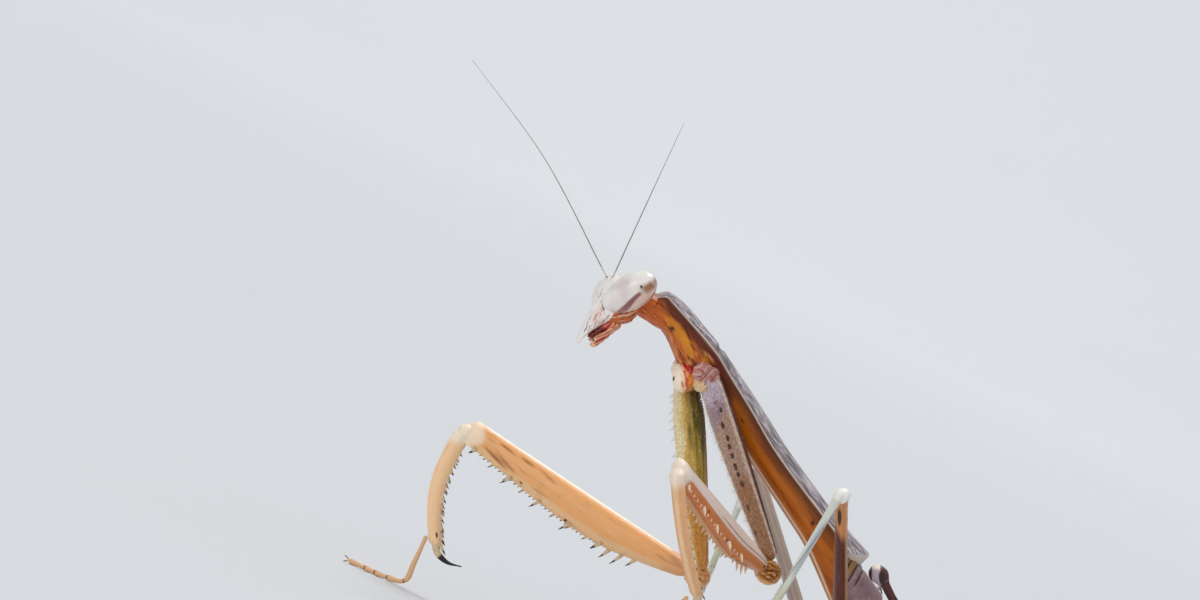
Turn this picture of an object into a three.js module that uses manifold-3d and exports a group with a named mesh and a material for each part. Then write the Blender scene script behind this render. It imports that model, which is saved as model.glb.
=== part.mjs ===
// A life-size praying mantis, standing on its walking legs with the chest raised and one foreleg
// stretched out in front. Lengths are millimetres. +X is the animal's left, -Y is the way it faces
// and +Z is up. The floor is z = 0.
import * as THREE from "three";
import { mergeVertices } from "three/addons/utils/BufferGeometryUtils.js";
import Module from "manifold-3d";

const wasm = await Module();
wasm.setup();

// Driving dimensions
const HEAD_AT = new THREE.Vector3(0, 0, 29.67); // between the roots of the antennae
const HEAD_TURN = [-5.7, -10.7, 0.1]; // degrees about X, Y and Z
const FACE_LENGTH = 5.85; // from the roots of the antennae to the tip of the upper lip
const EYE_AT = [2.36, 1.22, -0.73];
const EYE_HALF = [1.42, 1.5, 2.62]; // outwards, backwards and along the eye
const EYE_LEAN = [0.53, 0.22, 0.465]; // the way its blunt upper end points
const EYE_SWELL = 0.1;
const EYE_FRONT = 0.84; // the front half is flatter
const ANTENNA_THICKNESS = 0.5;

const CHEST_AT = new THREE.Vector3(0, 4.12, 30.61); // front end of the long first shield, on top
const CHEST_PITCH = 27.5; // degrees, nose up
const CHEST_ROLL = 12; // degrees, left side up
const SHIELD_LENGTH = 28.3;
const COLLAR_LENGTH = 6.3; // the short part in front of the groove over the fore coxae
const SEAM = 0.06; // gap left between two pieces that meet
const TURNED_SEAM = 0.3; // the same where one piece sits in a turned group

const FORE_COXA = { wide: 1.9, deep: 2.6 };
const FORE_FEMUR = { wide: 1.7, deep: 3.1 };
const FORE_TIBIA = { wide: 1.15, deep: 1.4 };
const MID_LEG = { coxa: 2.1, femur: 1.15, tibia: 0.68, foot: 6.4 };
const HIND_LEG = { coxa: 2.3, femur: 1.25, tibia: 0.74, foot: 8 };
const FOOT_THICKNESS = 0.56;

const TRUNK_FROM = 28.6;
const TRUNK_WAIST = 34.6; // between the middle and the hind part of the thorax
const ABDOMEN_FROM = 41.2;
const ABDOMEN_TO = 81;
const ABDOMEN_RINGS = 6;
const WING_FROM = 31.4;
const WING_TO = 88;
const WING_THICKNESS = 0.5;
const LAYER_GAP = 0.16; // between one wing and the next, and the back

const STANCE_CENTRE = [-3.97, 36.72]; // middle of the bounding box before it is moved to the origin

// Joints of each leg, from the body outwards
const LEFT_FORELEG = {
  coxaAt: [2.13, 9.73, 26.1],
  coxaEnd: [2.29, 21.03, 14.32],
  coxaFront: [0.7, -1, 0],
  hip: [2.88, 20.42, 13.5],
  bulb: [2.67, 21.01, 13.35],
  knee: [18.0, 5.99, 18.95],
  wrist: [18.7, 11.4, 10.6],
  foot: [
    [19.0, 10.6, 10.4],
    [20.2, 8.4, 6.0],
    [20.8, 7.4, 3.4],
    [21.0, 6.4, 2.2],
  ],
};
const RIGHT_FORELEG = {
  coxaAt: [-1.62, 9.12, 25.6],
  coxaEnd: [-0.6, 16.95, 11.0],
  coxaFront: [0, -1, 0],
  hip: [-1.54, 16.4, 10.43],
  bulb: [-1.0, 16.9, 10.6],
  knee: [-8.4, -3.5, 13.7],
  wrist: [-7.2, -2.2, 4.05],
  foot: [
    [-7.5, -3.2, 4.6],
    [-7.2, -3.3, 2.2],
    [-7.3, -3.4, 0.62],
    [-7.9, -5.0, 0.26],
    [-8.9, -7.9, 0.26],
  ],
};
const LEFT_MID_LEG = {
  coxaAt: [2.3, 31.4, 11.6],
  hip: [3.6, 28.7, 10.2],
  knee: [18.3, 18.6, 22.25],
  ankle: [18.6, 15.9, 1.0],
  toes: [0.55, -0.83],
};
const RIGHT_MID_LEG = {
  coxaAt: [-2.3, 31.2, 11.6],
  hip: [-3.6, 27.7, 10.0],
  knee: [-22.1, 24.5, 19.4],
  ankle: [-29.4, 26.6, 1.0],
  toes: [-0.8, -0.6],
};
const LEFT_HIND_LEG = {
  coxaAt: [2.6, 39.0, 10.6],
  hip: [3.7, 42.0, 8.4],
  knee: [17.0, 60.5, 23.6],
  ankle: [22.5, 76.0, 1.0],
  toes: [0.5, 0.87],
};
const RIGHT_HIND_LEG = {
  coxaAt: [-2.6, 39.0, 10.6],
  hip: [-3.7, 42.0, 8.4],
  knee: [-17.0, 62.0, 22.2],
  ankle: [-23.5, 76.5, 1.0],
  toes: [-0.62, 0.78],
};
const ANTENNA_TIPS = { left: [17.8, -4.4, 42.8], right: [-12.9, -14.4, 41.0] };

const COLOURS = {
  head: [0xe6ddd6, 0.45],
  eye: [0xdcd4cc, 0.18],
  mouth: [0xa85a3c, 0.5],
  antenna: [0x9b7d62, 0.6],
  neck: [0xb4642a, 0.45],
  shield: [0x9a6a3c, 0.4],
  thorax: [0x8d6f68, 0.5],
  foreleg: [0xd2a878, 0.45],
  leg: [0xa88a72, 0.5],
  abdomen: [0x9c7a55, 0.5],
  wing: [0x9a7f62, 0.45],
};

// Small helpers
const vec = (p) => new THREE.Vector3(...p);
const radians = (degrees) => THREE.MathUtils.degToRad(degrees);
const smooth = (x, from, to) => THREE.MathUtils.smoothstep(x, from, to);

// A smooth function through a few [position, value] pairs
function profile(pairs) {
  const slope = pairs.map((p, i) => {
    const before = pairs[Math.max(i - 1, 0)];
    const after = pairs[Math.min(i + 1, pairs.length - 1)];
    return (after[1] - before[1]) / (after[0] - before[0]);
  });
  return (x) => {
    if (x <= pairs[0][0]) return pairs[0][1];
    if (x >= pairs.at(-1)[0]) return pairs.at(-1)[1];
    const i = pairs.findIndex((p) => p[0] > x) - 1;
    const span = pairs[i + 1][0] - pairs[i][0];
    const t = (x - pairs[i][0]) / span;
    const rise = pairs[i + 1][1] - pairs[i][1];
    const [a, b] = [slope[i] * span, slope[i + 1] * span];
    return pairs[i][1] + t * (a + t * (3 * rise - 2 * a - b + t * (a + b - 2 * rise)));
  };
}

// A closed tube whose points are placed by a function of the way along (0 to 1), the angle round
// and the way out from its middle line (0 to 1)
function loft(sides, rings, place) {
  const geometry = new THREE.CylinderGeometry(1, 1, 1, sides, rings);
  const position = geometry.getAttribute("position");
  for (let i = 0; i < position.count; i++) {
    const [x, y, z] = [position.getX(i), position.getY(i), position.getZ(i)];
    const point = place(y + 0.5, Math.atan2(z, x), Math.hypot(x, z));
    position.setXYZ(i, point.x, point.y, point.z);
  }
  return geometry;
}

// A function through a few [position, share of size] pairs
function shaped(size, pairs) {
  const share = profile(pairs);
  return (t) => size * share(t);
}

// Rings crowd towards both ends, where a piece rounds off
const crowded = (along) => 0.5 - 0.5 * Math.cos(Math.PI * along);

// Ring positions of a limb: three in each rounded end and the rest spread evenly between them
function stations(rings, start, end) {
  const inner = rings - 4;
  const middle = Array.from({ length: inner + 1 }, (_, i) => start + ((1 - start - end) * i) / inner);
  return [0, 0.3 * start, ...middle, 1 - 0.3 * end, 1];
}

// 1 in the middle of a piece, falling to a small value at both ends along an arc
function roundedEnds(t, start, end) {
  const near = Math.max(0, 1 - t / start);
  const far = Math.max(0, 1 - (1 - t) / end);
  return Math.max(0.12, Math.sqrt(1 - near * near) * Math.sqrt(1 - far * far));
}

// Unit vectors of a limb: along it, towards its flexing side and across
function limbAxes(from, to, towards) {
  const axis = vec(to).sub(vec(from)).normalize();
  const flex = vec(towards).sub(vec(from));
  flex.addScaledVector(axis, -flex.dot(axis)).normalize();
  return { axis, flex, side: axis.clone().cross(flex) };
}

// A limb piece between two points. The flexing side faces "towards". wide and deep give its full
// size along t, and bow shifts its middle line towards the flexing side.
function limb({ from, to, towards, wide, deep, bow = () => 0, sides, rings, ends }) {
  const [a, b] = [vec(from), vec(to)];
  const { flex, side } = limbAxes(from, to, towards);
  const at = stations(rings, ends[0], ends[1]);
  return loft(sides, rings, (along, turn, out) => {
    const t = at[Math.round(along * rings)];
    const round = roundedEnds(t, ends[0], ends[1]) * out;
    return a
      .clone()
      .lerp(b, t)
      .addScaledVector(side, 0.5 * wide(t) * Math.cos(turn) * round)
      .addScaledVector(flex, bow(t) + 0.5 * deep(t) * Math.sin(turn) * round);
  });
}

// A round feeler or toe along a smooth curve
function feeler(points, thickness, sides, rings, floor = -Infinity) {
  const curve = new THREE.CatmullRomCurve3(points.map(vec));
  return loft(sides, rings, (along, turn, out) => {
    const centre = curve.getPointAt(along);
    const axis = curve.getTangentAt(along);
    const up = new THREE.Vector3(0.1, 0.05, 1);
    up.addScaledVector(axis, -up.dot(axis)).normalize();
    const side = axis.clone().cross(up);
    const reach = 0.5 * thickness(along) * out;
    centre.addScaledVector(side, reach * Math.cos(turn)).addScaledVector(up, reach * Math.sin(turn));
    centre.z = Math.max(centre.z, floor);
    return centre;
  });
}

// A pointed spine standing on a surface, with its root sunk a little
function spine(root, direction, length, thickness, sides = 3) {
  const sink = 0.35;
  const cone = new THREE.ConeGeometry(thickness / 2, length + sink, sides);
  const away = vec(direction).normalize();
  cone.translate(0, (length + sink) / 2 - sink, 0);
  cone.applyQuaternion(new THREE.Quaternion().setFromUnitVectors(new THREE.Vector3(0, 1, 0), away));
  return cone.translate(...root);
}

function ball(at, half) {
  return new THREE.SphereGeometry(1, 8, 5).scale(...half).translate(...at);
}

// Joining and cutting
function toSolid(geometry) {
  const bare = geometry.clone();
  bare.deleteAttribute("normal");
  bare.deleteAttribute("uv");
  const merged = mergeVertices(bare, 1e-4);
  const made = new wasm.Manifold(
    new wasm.Mesh({
      numProp: 3,
      vertProperties: merged.getAttribute("position").array,
      triVerts: new Uint32Array(merged.index.array),
    }),
  );
  return made;
}

function toGeometry(made) {
  const { vertProperties, triVerts } = made.getMesh();
  return new THREE.BufferGeometry()
    .setAttribute("position", new THREE.BufferAttribute(vertProperties, 3))
    .setIndex(new THREE.BufferAttribute(triVerts, 1));
}

const joined = (...geometries) => toGeometry(geometries.map(toSolid).reduce((a, b) => a.add(b)));
const cut = (geometry, ...cutters) =>
  toGeometry(cutters.map(toSolid).reduce((a, b) => a.subtract(b), toSolid(geometry)));

// A copy that stands out from the first by a gap all round, for cutting its neighbour
function grown(geometry, gap) {
  const copy = mergeVertices(geometry.clone().deleteAttribute("normal").deleteAttribute("uv"), 1e-4);
  copy.computeVertexNormals();
  const position = copy.getAttribute("position");
  const normal = copy.getAttribute("normal");
  for (let i = 0; i < position.count; i++)
    position.setXYZ(
      i,
      position.getX(i) + gap * normal.getX(i),
      position.getY(i) + gap * normal.getY(i),
      position.getZ(i) + gap * normal.getZ(i),
    );
  return copy;
}

function piece(name, geometry, look) {
  const [color, roughness] = COLOURS[look];
  const mesh = new THREE.Mesh(geometry, new THREE.MeshStandardMaterial({ color, roughness, metalness: 0 }));
  mesh.name = name;
  return mesh;
}

// Head, in its own frame: the origin between the roots of the antennae, Y towards the nape
function eyeTurn(side) {
  const along = new THREE.Vector3(side * EYE_LEAN[0], EYE_LEAN[1], EYE_LEAN[2]).normalize();
  const back = new THREE.Vector3(0, 1, 0);
  back.addScaledVector(along, -back.dot(along)).normalize();
  return new THREE.Matrix4().makeBasis(back.clone().cross(along), back, along);
}

// An egg with its blunt end up
function eye(side) {
  const egg = new THREE.SphereGeometry(1, 12, 9);
  egg.rotateX(Math.PI / 2);
  const position = egg.getAttribute("position");
  for (let i = 0; i < position.count; i++) {
    const swell = 1 + EYE_SWELL * position.getZ(i);
    const y = position.getY(i) * swell;
    position.setX(i, position.getX(i) * swell);
    position.setY(i, y < 0 ? EYE_FRONT * y : y);
  }
  const at = [side * EYE_AT[0], EYE_AT[1], EYE_AT[2]];
  return egg.scale(...EYE_HALF).applyMatrix4(eyeTurn(side)).translate(...at);
}

function headCapsule() {
  const top = 1.0;
  const halfWidth = profile([
    [-FACE_LENGTH, 0.28],
    [-5.2, 0.6],
    [-4.2, 0.85],
    [-3.2, 1.25],
    [-2.4, 1.6],
    [-1.5, 1.9],
    [-0.4, 2.2],
    [0.4, 1.8],
    [top, 0.9],
  ]);
  const front = profile([
    [-FACE_LENGTH, -0.08],
    [-3, -0.2],
    [-1.5, -0.25],
    [-0.3, -0.12],
    [0.1, 0.1],
    [0.5, 0.7],
    [top, 1.5],
  ]);
  const back = profile([
    [-FACE_LENGTH, 0.12],
    [-5.2, 0.24],
    [-4.2, 0.76],
    [-3.4, 1.4],
    [-2.9, 2.4],
    [-2.3, 3.05],
    [-1.6, 3.2],
    [-0.4, 3.15],
    [0.5, 2.7],
    [top, 2.3],
  ]);
  return loft(14, 12, (along, turn, out) => {
    const z = top - crowded(along) * (top + FACE_LENGTH);
    const middle = 0.5 * (front(z) + back(z));
    const deep = 0.5 * (back(z) - front(z));
    const square = (c) => Math.sign(c) * Math.abs(c) ** 0.85;
    return new THREE.Vector3(
      halfWidth(z) * square(Math.cos(turn)) * out,
      middle + deep * square(Math.sin(turn)) * out,
      z,
    );
  });
}

// The lower lip with its palps, hanging a little open behind the upper lip
function mouthparts() {
  const lip = limb({
    from: [0, 2.1, -2.7],
    to: [0, 1.2, -5.55],
    towards: [0, 4, -5],
    wide: (t) => 1.9 - 0.95 * t,
    deep: (t) => 1.15 - 0.7 * t,
    sides: 8,
    rings: 6,
    ends: [0.1, 0.2],
  });
  const palps = [-1, 1].map((side) => {
    const bend = [side * 0.98, 1.6, -4.0];
    return feeler([[side * 0.7, 1.9, -3.0], bend, [side * 0.62, 1.0, -5.1]], () => 0.5, 5, 4);
  });
  return joined(lip, ...palps);
}

// A fine feeler on a thicker first joint, curving slightly outwards
function antenna(root, tip) {
  const bend = new THREE.Vector3(0, 0, 0.9);
  const middle = vec(root).lerp(vec(tip), 0.5).add(bend);
  const thickness = (t) => ANTENNA_THICKNESS * (t < 0.05 ? 1.3 : 1);
  return feeler([root, middle.toArray(), tip], thickness, 5, 11);
}

// Chest shield, in its own frame: the origin at its front end on top, Y towards the tail
const shieldTop = profile([
  [0, -0.1],
  [1.5, 0.47],
  [3.5, 0.71],
  [8, 0.6],
  [12, 0.42],
  [15, 0.13],
  [18, -0.11],
  [24, -0.24],
  [SHIELD_LENGTH, 0],
]);
const shieldRim = profile([
  [0, -0.62],
  [5.5, -0.58],
  [9, -0.82],
  [12, -1.03],
  [15, -1.42],
  [18, -1.6],
  [SHIELD_LENGTH, -1.75],
]);
const shieldBelly = profile([
  [0, -2.3],
  [2, -2.12],
  [3, -2.04],
  [3.9, -2.2],
  [5.5, -2.64],
  [7.2, -2.7],
  [9, -2.5],
  [12, -2.45],
  [15, -2.92],
  [21, -3.43],
  [24, -3.75],
  [SHIELD_LENGTH, -5.0],
]);
const shieldHalfWidth = profile([
  [0, 1.55],
  [3, 2.0],
  [5.5, 2.5],
  [6.8, 2.65],
  [9, 2.3],
  [12, 1.95],
  [18, 1.85],
  [26, 1.95],
  [SHIELD_LENGTH, 1.5],
]);

function shieldPart(from, to, rings) {
  return loft(14, rings, (along, turn, out) => {
    const y = from + along * (to - from);
    const [top, rim, belly] = [shieldTop(y), shieldRim(y), shieldBelly(y)];
    const middle = 0.5 * (top + belly);
    const rise = Math.sin(turn);
    const height = rise > 0 ? rim + (top - rim) * rise ** 1.1 : rim + (rim - belly) * rise;
    const tuck = 1 - 0.12 * smooth(-rise, 0, 0.5);
    const across = shieldHalfWidth(y) * Math.cos(turn) * tuck;
    return new THREE.Vector3(across * out, y, middle + (height - middle) * out);
  });
}

// Trunk behind the shield. Its pieces follow one middle line, which sinks gently towards the tail.
const backLine = profile([
  [TRUNK_FROM, 15.9],
  [30, 15.4],
  [32, 14.2],
  [36, 13.9],
  [ABDOMEN_FROM, 13.3],
  [60, 12.4],
  [ABDOMEN_TO, 9.6],
]);
const bellyLine = profile([
  [TRUNK_FROM, 12.2],
  [30, 10.6],
  [33, 8.8],
  [ABDOMEN_FROM, 6.9],
  [50, 5.9],
  [60, 5.7],
  [70, 6.2],
  [ABDOMEN_TO, 8.4],
]);
const trunkHalfWidth = profile([
  [TRUNK_FROM, 1.5],
  [31, 2.5],
  [34, 3.1],
  [ABDOMEN_FROM, 3.2],
  [46, 3.7],
  [56, 4.2],
  [66, 4.0],
  [74, 3.1],
  [ABDOMEN_TO, 1.2],
]);

function trunkPart(from, to, sides, rings, squareness = 0.9, edge = 0) {
  return loft(sides, rings, (along, turn, out) => {
    const y = from + along * (to - from);
    const middle = 0.5 * (backLine(y) + bellyLine(y));
    const deep = 0.5 * (backLine(y) - bellyLine(y));
    const square = (c) => Math.sign(c) * Math.abs(c) ** squareness;
    const lip = 1 - edge * (1 - along) ** 3;
    return new THREE.Vector3(
      trunkHalfWidth(y) * lip * square(Math.cos(turn)) * out,
      y,
      middle + deep * lip * square(Math.sin(turn)) * out,
    );
  });
}

function abdomenRing(index) {
  const length = (ABDOMEN_TO - ABDOMEN_FROM) / ABDOMEN_RINGS;
  const from = ABDOMEN_FROM + index * length;
  return trunkPart(from, from + length - SEAM, 12, 2, 0.95, 0.05);
}

function tailFeeler(side) {
  const root = [side * 0.75, ABDOMEN_TO + SEAM, 9.1];
  const tip = [side * 1.9, ABDOMEN_TO + 3.9, 9.5];
  const [wide, deep] = [() => 0.75, () => 0.6];
  return limb({ from: root, to: tip, towards: [0, 84, 0], wide, deep, sides: 5, rings: 5, ends: [0.1, 0.5] });
}

// The surface that the folded wings lie on: its crown, half width and half depth along the body
const crownLine = profile([
  [31, 14.0],
  [34, 13.7],
  [41, 13.5],
  [60, 12.6],
  [75, 11.6],
  [WING_TO, 10.4],
]);
const saddleHalfWidth = profile([
  [31, 2.6],
  [34, 3.2],
  [41, 3.35],
  [50, 4.0],
  [60, 4.3],
  [70, 4.1],
  [78, 3.5],
  [WING_TO, 1.7],
]);
const saddleHalfDepth = profile([
  [31, 2.0],
  [36, 3.0],
  [60, 3.4],
  [75, 2.9],
  [WING_TO, 2.0],
]);

// One wing as a thin shell, from its outer edge over the back. Angles are degrees from straight up,
// and gap(y, angle) is its distance from the surface that it lies on.
function wing(side, { from, to, outer, inner, gap, across, rows }) {
  const shell = new THREE.BoxGeometry(1, 1, 1, across, rows, 1);
  const position = shell.getAttribute("position");
  for (let i = 0; i < position.count; i++) {
    const inwards = 0.5 - side * position.getX(i);
    const along = position.getY(i) + 0.5;
    const y = from + along * (to - from);
    const angle = outer(along) + inwards * (inner(along) - outer(along));
    const off = gap(y, angle) + position.getZ(i) * WING_THICKNESS;
    const turn = radians(angle);
    const middle = crownLine(y) - saddleHalfDepth(y);
    const x = side * (saddleHalfWidth(y) + off) * Math.sin(turn);
    const z = middle + (saddleHalfDepth(y) + off) * Math.cos(turn);
    position.setXYZ(i, x, y, z);
  }
  return shell;
}

// The leathery fore wing. The left one lies over the right one past the middle line.
function foreWing(side) {
  const tip = (t) => Math.sqrt(Math.max(0.02, 1 - smooth(t, 0.66, 1.02) ** 2));
  const under = WING_THICKNESS + LAYER_GAP;
  const shell = wing(side, {
    from: WING_FROM,
    to: WING_TO,
    outer: (t) => 76 * (0.25 + 0.75 * tip(t)),
    inner: (t) => 42 - (42 + 30 * tip(t)) * smooth(t, 0, 0.18),
    across: 6,
    rows: 9,
    gap: (y, angle) => {
      const base = 0.5 * WING_THICKNESS + LAYER_GAP + under * smooth(y, 34, 37);
      return side > 0 ? base + under * (1 - smooth(angle, 34, 50)) : base;
    },
  });
  const shoulder = limb({
    from: side > 0 ? [2.05, 29.05, 17.05] : [-2.3, 31.3, 14.9],
    to: [side * 3.0, 34.2, 13.4],
    towards: [0, 36, 20],
    wide: (t) => 1.5 - 0.85 * smooth(t, 0.14, 0.32),
    deep: (t) => 1.6 - 0.95 * smooth(t, 0.14, 0.32),
    sides: 8,
    rings: 8,
    ends: [0.14, 0.2],
  });
  return joined(shell, shoulder);
}

// The folded hind wing between the fore wing and the abdomen
function hindWing(side) {
  return wing(side, {
    from: 37.5,
    to: WING_TO - 3,
    outer: (t) => 66 - 40 * smooth(t, 0.6, 1),
    inner: () => 2.5,
    across: 4,
    rows: 9,
    gap: () => 0.5 * WING_THICKNESS + LAYER_GAP,
  });
}

// Legs
function foreCoxa(leg) {
  const [from, to] = [leg.coxaAt, leg.coxaEnd];
  const towards = vec(from).add(vec(leg.coxaFront)).toArray();
  const wide = shaped(FORE_COXA.wide, [[0, 0.8], [0.12, 1], [0.6, 0.85], [1, 0.65]]);
  const deep = shaped(FORE_COXA.deep, [[0, 0.62], [0.12, 0.8], [0.25, 0.98], [0.6, 0.85], [1, 0.5]]);
  const shaft = limb({ from, to, towards, wide, deep, sides: 8, rings: 8, ends: [0.06, 0.05] });
  const { axis, flex } = limbAxes(from, to, towards);
  const teeth = [];
  for (let t = 0.26; t < 0.92; t += 0.09) {
    const root = vec(from).lerp(vec(to), t).addScaledVector(flex, 0.5 * deep(t) - 0.08);
    const away = flex.clone().addScaledVector(axis, 0.35);
    teeth.push(spine(root.toArray(), away.toArray(), 0.4, 0.42));
  }
  return joined(shaft, ...teeth);
}

function foreFemur(leg) {
  const wide = shaped(FORE_FEMUR.wide, [[0, 0.65], [0.2, 0.94], [0.5, 1], [0.85, 0.8], [1, 0.74]]);
  const belly = [[0, 0.42], [0.15, 0.68], [0.38, 0.97], [0.6, 0.92], [0.85, 0.74], [1, 0.66]];
  const deep = shaped(FORE_FEMUR.deep, belly);
  const bow = (t) => 0.5 * deep(t) - 0.84 - 0.18 * t; // keeps the outer edge straight
  const { hip: from, knee: to, wrist: towards } = leg;
  const shaft = limb({ from, to, towards, wide, deep, bow, sides: 10, rings: 10, ends: [0.04, 0.03] });
  const { axis, flex, side } = limbAxes(from, to, towards);
  const spines = [];
  const stand = (t, across, length) => {
    const root = vec(from).lerp(vec(to), t);
    const depth = bow(t) + 0.5 * deep(t) * Math.sqrt(1 - across * across) - 0.05;
    root.addScaledVector(flex, depth).addScaledVector(side, 0.5 * wide(t) * across);
    const away = flex.clone().addScaledVector(side, 0.5 * across).addScaledVector(axis, -0.15);
    spines.push(spine(root.toArray(), away.toArray(), length, 0.42));
  };
  for (let i = 0; i < 10; i++) stand(0.36 + 0.054 * i, -0.62, i % 2 ? 0.6 : 1.0);
  for (let i = 0; i < 4; i++) stand(0.34 + 0.14 * i, 0.62, 1.4);
  for (let i = 0; i < 3; i++) stand(0.22 + 0.05 * i, 0, 1.5 - 0.2 * i);
  return joined(shaft, ...spines);
}

function foreTibia(leg) {
  const { knee: from, wrist: to, hip: towards } = leg;
  const wide = shaped(FORE_TIBIA.wide, [[0, 1], [0.2, 0.9], [1, 0.75]]);
  const deep = shaped(FORE_TIBIA.deep, [[0, 0.95], [0.15, 1], [0.5, 0.9], [1, 0.72]]);
  const bow = (t) => -1.1 * Math.sin(Math.PI * t);
  const shaft = limb({ from, to, towards, wide, deep, bow, sides: 8, rings: 9, ends: [0.06, 0.06] });
  const { axis, flex } = limbAxes(from, to, towards);
  const spines = [];
  for (let i = 0; i < 9; i++) {
    const t = 0.24 + 0.085 * i;
    const root = vec(from).lerp(vec(to), t).addScaledVector(flex, bow(t) + 0.5 * deep(t) - 0.06);
    const away = flex.clone().addScaledVector(axis, 0.9);
    spines.push(spine(root.toArray(), away.toArray(), 0.4 + 0.065 * i, 0.36));
  }
  const bend = (along, inwards) =>
    vec(to).addScaledVector(axis, along).addScaledVector(flex, inwards).toArray();
  const hook = [bend(-0.7, -0.1), bend(0.35, 0.25), bend(0.95, 1.3), bend(0.95, 2.5)];
  const claw = feeler(hook, (t) => 0.78 - 0.6 * t, 5, 5);
  return joined(shaft, claw, ...spines);
}

const footThickness = (t) => FOOT_THICKNESS * (1 + 0.12 * Math.cos(10 * Math.PI * t));

function foreFoot(leg) {
  return feeler(leg.foot, footThickness, 5, 10, 0);
}

function coxa(leg, thickness) {
  const { coxaAt: from, hip: to, knee: towards } = leg;
  const round = (t) => thickness + (1.35 - thickness) * t;
  return limb({ from, to, towards, wide: round, deep: round, sides: 8, rings: 6, ends: [0.15, 0.2] });
}

function femur(leg, thickness) {
  const { hip: from, knee: to, ankle: towards } = leg;
  const deep = shaped(thickness, [[0, 1.15], [0.5, 1], [0.92, 0.9], [0.98, 1.25], [1, 1.25]]);
  const wide = (t) => 0.85 * deep(t);
  return limb({ from, to, towards, wide, deep, sides: 8, rings: 6, ends: [0.03, 0.03] });
}

function tibia(leg, thickness) {
  const { knee: from, ankle: to, hip: towards } = leg;
  const deep = shaped(thickness, [[0, 1.5], [0.1, 1.15], [0.5, 1], [1, 1]]);
  return limb({ from, to, towards, wide: deep, deep, sides: 6, rings: 6, ends: [0.03, 0.02] });
}

function foot(leg, length) {
  const sole = 0.5 * FOOT_THICKNESS - 0.02;
  const step = (reach, height) => [
    leg.ankle[0] + leg.toes[0] * reach,
    leg.ankle[1] + leg.toes[1] * reach,
    height,
  ];
  return feeler([step(-0.1, 0.95), step(0.9, sole + 0.1), step(0.5 * length, sole), step(length, sole)],
    footThickness, 5, 6, 0);
}

// The whole animal
const chest = new THREE.Group();
chest.position.copy(CHEST_AT);
chest.rotation.set(-radians(CHEST_PITCH), -radians(CHEST_ROLL), 0);
chest.updateMatrix();
const skull = new THREE.Group();
skull.position.copy(HEAD_AT);
skull.rotation.set(...HEAD_TURN.map(radians));
skull.updateMatrix();
const mantis = new THREE.Group();
mantis.add(chest, skull);

const inStance = (geometry, group) => geometry.clone().applyMatrix4(group.matrix);

function addHead() {
  const eyes = { left: eye(1), right: eye(-1) };
  const capsule = cut(headCapsule(), grown(eyes.left, SEAM), grown(eyes.right, SEAM));
  skull.add(piece("head", capsule, "head"));
  skull.add(piece("left_eye", eyes.left, "eye"));
  skull.add(piece("right_eye", eyes.right, "eye"));
  skull.add(piece("mouthparts", cut(mouthparts(), grown(headCapsule(), SEAM)), "mouth"));
  for (const [name, side] of [["left", 1], ["right", -1]]) {
    const root = new THREE.Vector3(side * 0.5, 0.06, -0.05).applyMatrix4(skull.matrix).toArray();
    const whip = cut(antenna(root, ANTENNA_TIPS[name]), grown(inStance(headCapsule(), skull), 2 * SEAM));
    mantis.add(piece(name + "_antenna", whip, "antenna"));
  }
  return inStance(headCapsule(), skull);
}

function addChest(head) {
  const collar = shieldPart(0.4, COLLAR_LENGTH, 6);
  const shield = shieldPart(COLLAR_LENGTH + SEAM, SHIELD_LENGTH, 11);
  chest.add(piece("pronotum_front", collar, "shield"));
  chest.add(piece("pronotum_rear", shield, "shield"));
  const fixed = { collar: inStance(collar, chest), shield: inStance(shield, chest) };
  const neck = limb({
    from: [-0.3, 1.3, 29.2],
    to: [0.05, 5.9, 28.6],
    towards: [0, 3, 20],
    wide: (t) => 2.7 + 0.4 * t,
    deep: (t) => 2.2 + 0.1 * t,
    sides: 10,
    rings: 5,
    ends: [0.1, 0.1],
  });
  const around = [head, fixed.collar].map((neighbour) => grown(neighbour, TURNED_SEAM));
  mantis.add(piece("neck", cut(neck, ...around), "neck"));
  return fixed;
}

function addTrunk(fixed) {
  const front = cut(trunkPart(TRUNK_FROM, TRUNK_WAIST - SEAM, 14, 4), grown(fixed.shield, TURNED_SEAM));
  const rear = trunkPart(TRUNK_WAIST, ABDOMEN_FROM - SEAM, 14, 3);
  mantis.add(piece("mesothorax", front, "thorax"));
  mantis.add(piece("metathorax", rear, "thorax"));
  for (let i = 0; i < ABDOMEN_RINGS; i++)
    mantis.add(piece("abdomen_" + (i + 1), abdomenRing(i), "abdomen"));
  for (const [name, side] of [["left", 1], ["right", -1]]) {
    mantis.add(piece(name + "_cercus", tailFeeler(side), "abdomen"));
    mantis.add(piece(name + "_hind_wing", hindWing(side), "wing"));
    mantis.add(piece(name + "_fore_wing", cut(foreWing(side), grown(front, SEAM)), "wing"));
  }
  return { front, rear };
}

function addForeleg(name, leg, fixed) {
  const femurPart = foreFemur(leg);
  const around = [fixed.collar, fixed.shield].map((neighbour) => grown(neighbour, TURNED_SEAM));
  const coxaPart = cut(foreCoxa(leg), ...around);
  const tibiaPart = cut(foreTibia(leg), grown(femurPart, SEAM));
  const trochanter = cut(ball(leg.bulb, [1.0, 1.05, 0.95]), grown(coxaPart, SEAM), grown(femurPart, SEAM));
  mantis.add(piece(name + "_fore_coxa", coxaPart, "foreleg"));
  mantis.add(piece(name + "_fore_trochanter", trochanter, "foreleg"));
  mantis.add(piece(name + "_fore_femur", femurPart, "foreleg"));
  mantis.add(piece(name + "_fore_tibia", tibiaPart, "foreleg"));
  mantis.add(piece(name + "_fore_tarsus", cut(foreFoot(leg), grown(tibiaPart, SEAM)), "foreleg"));
}

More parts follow.
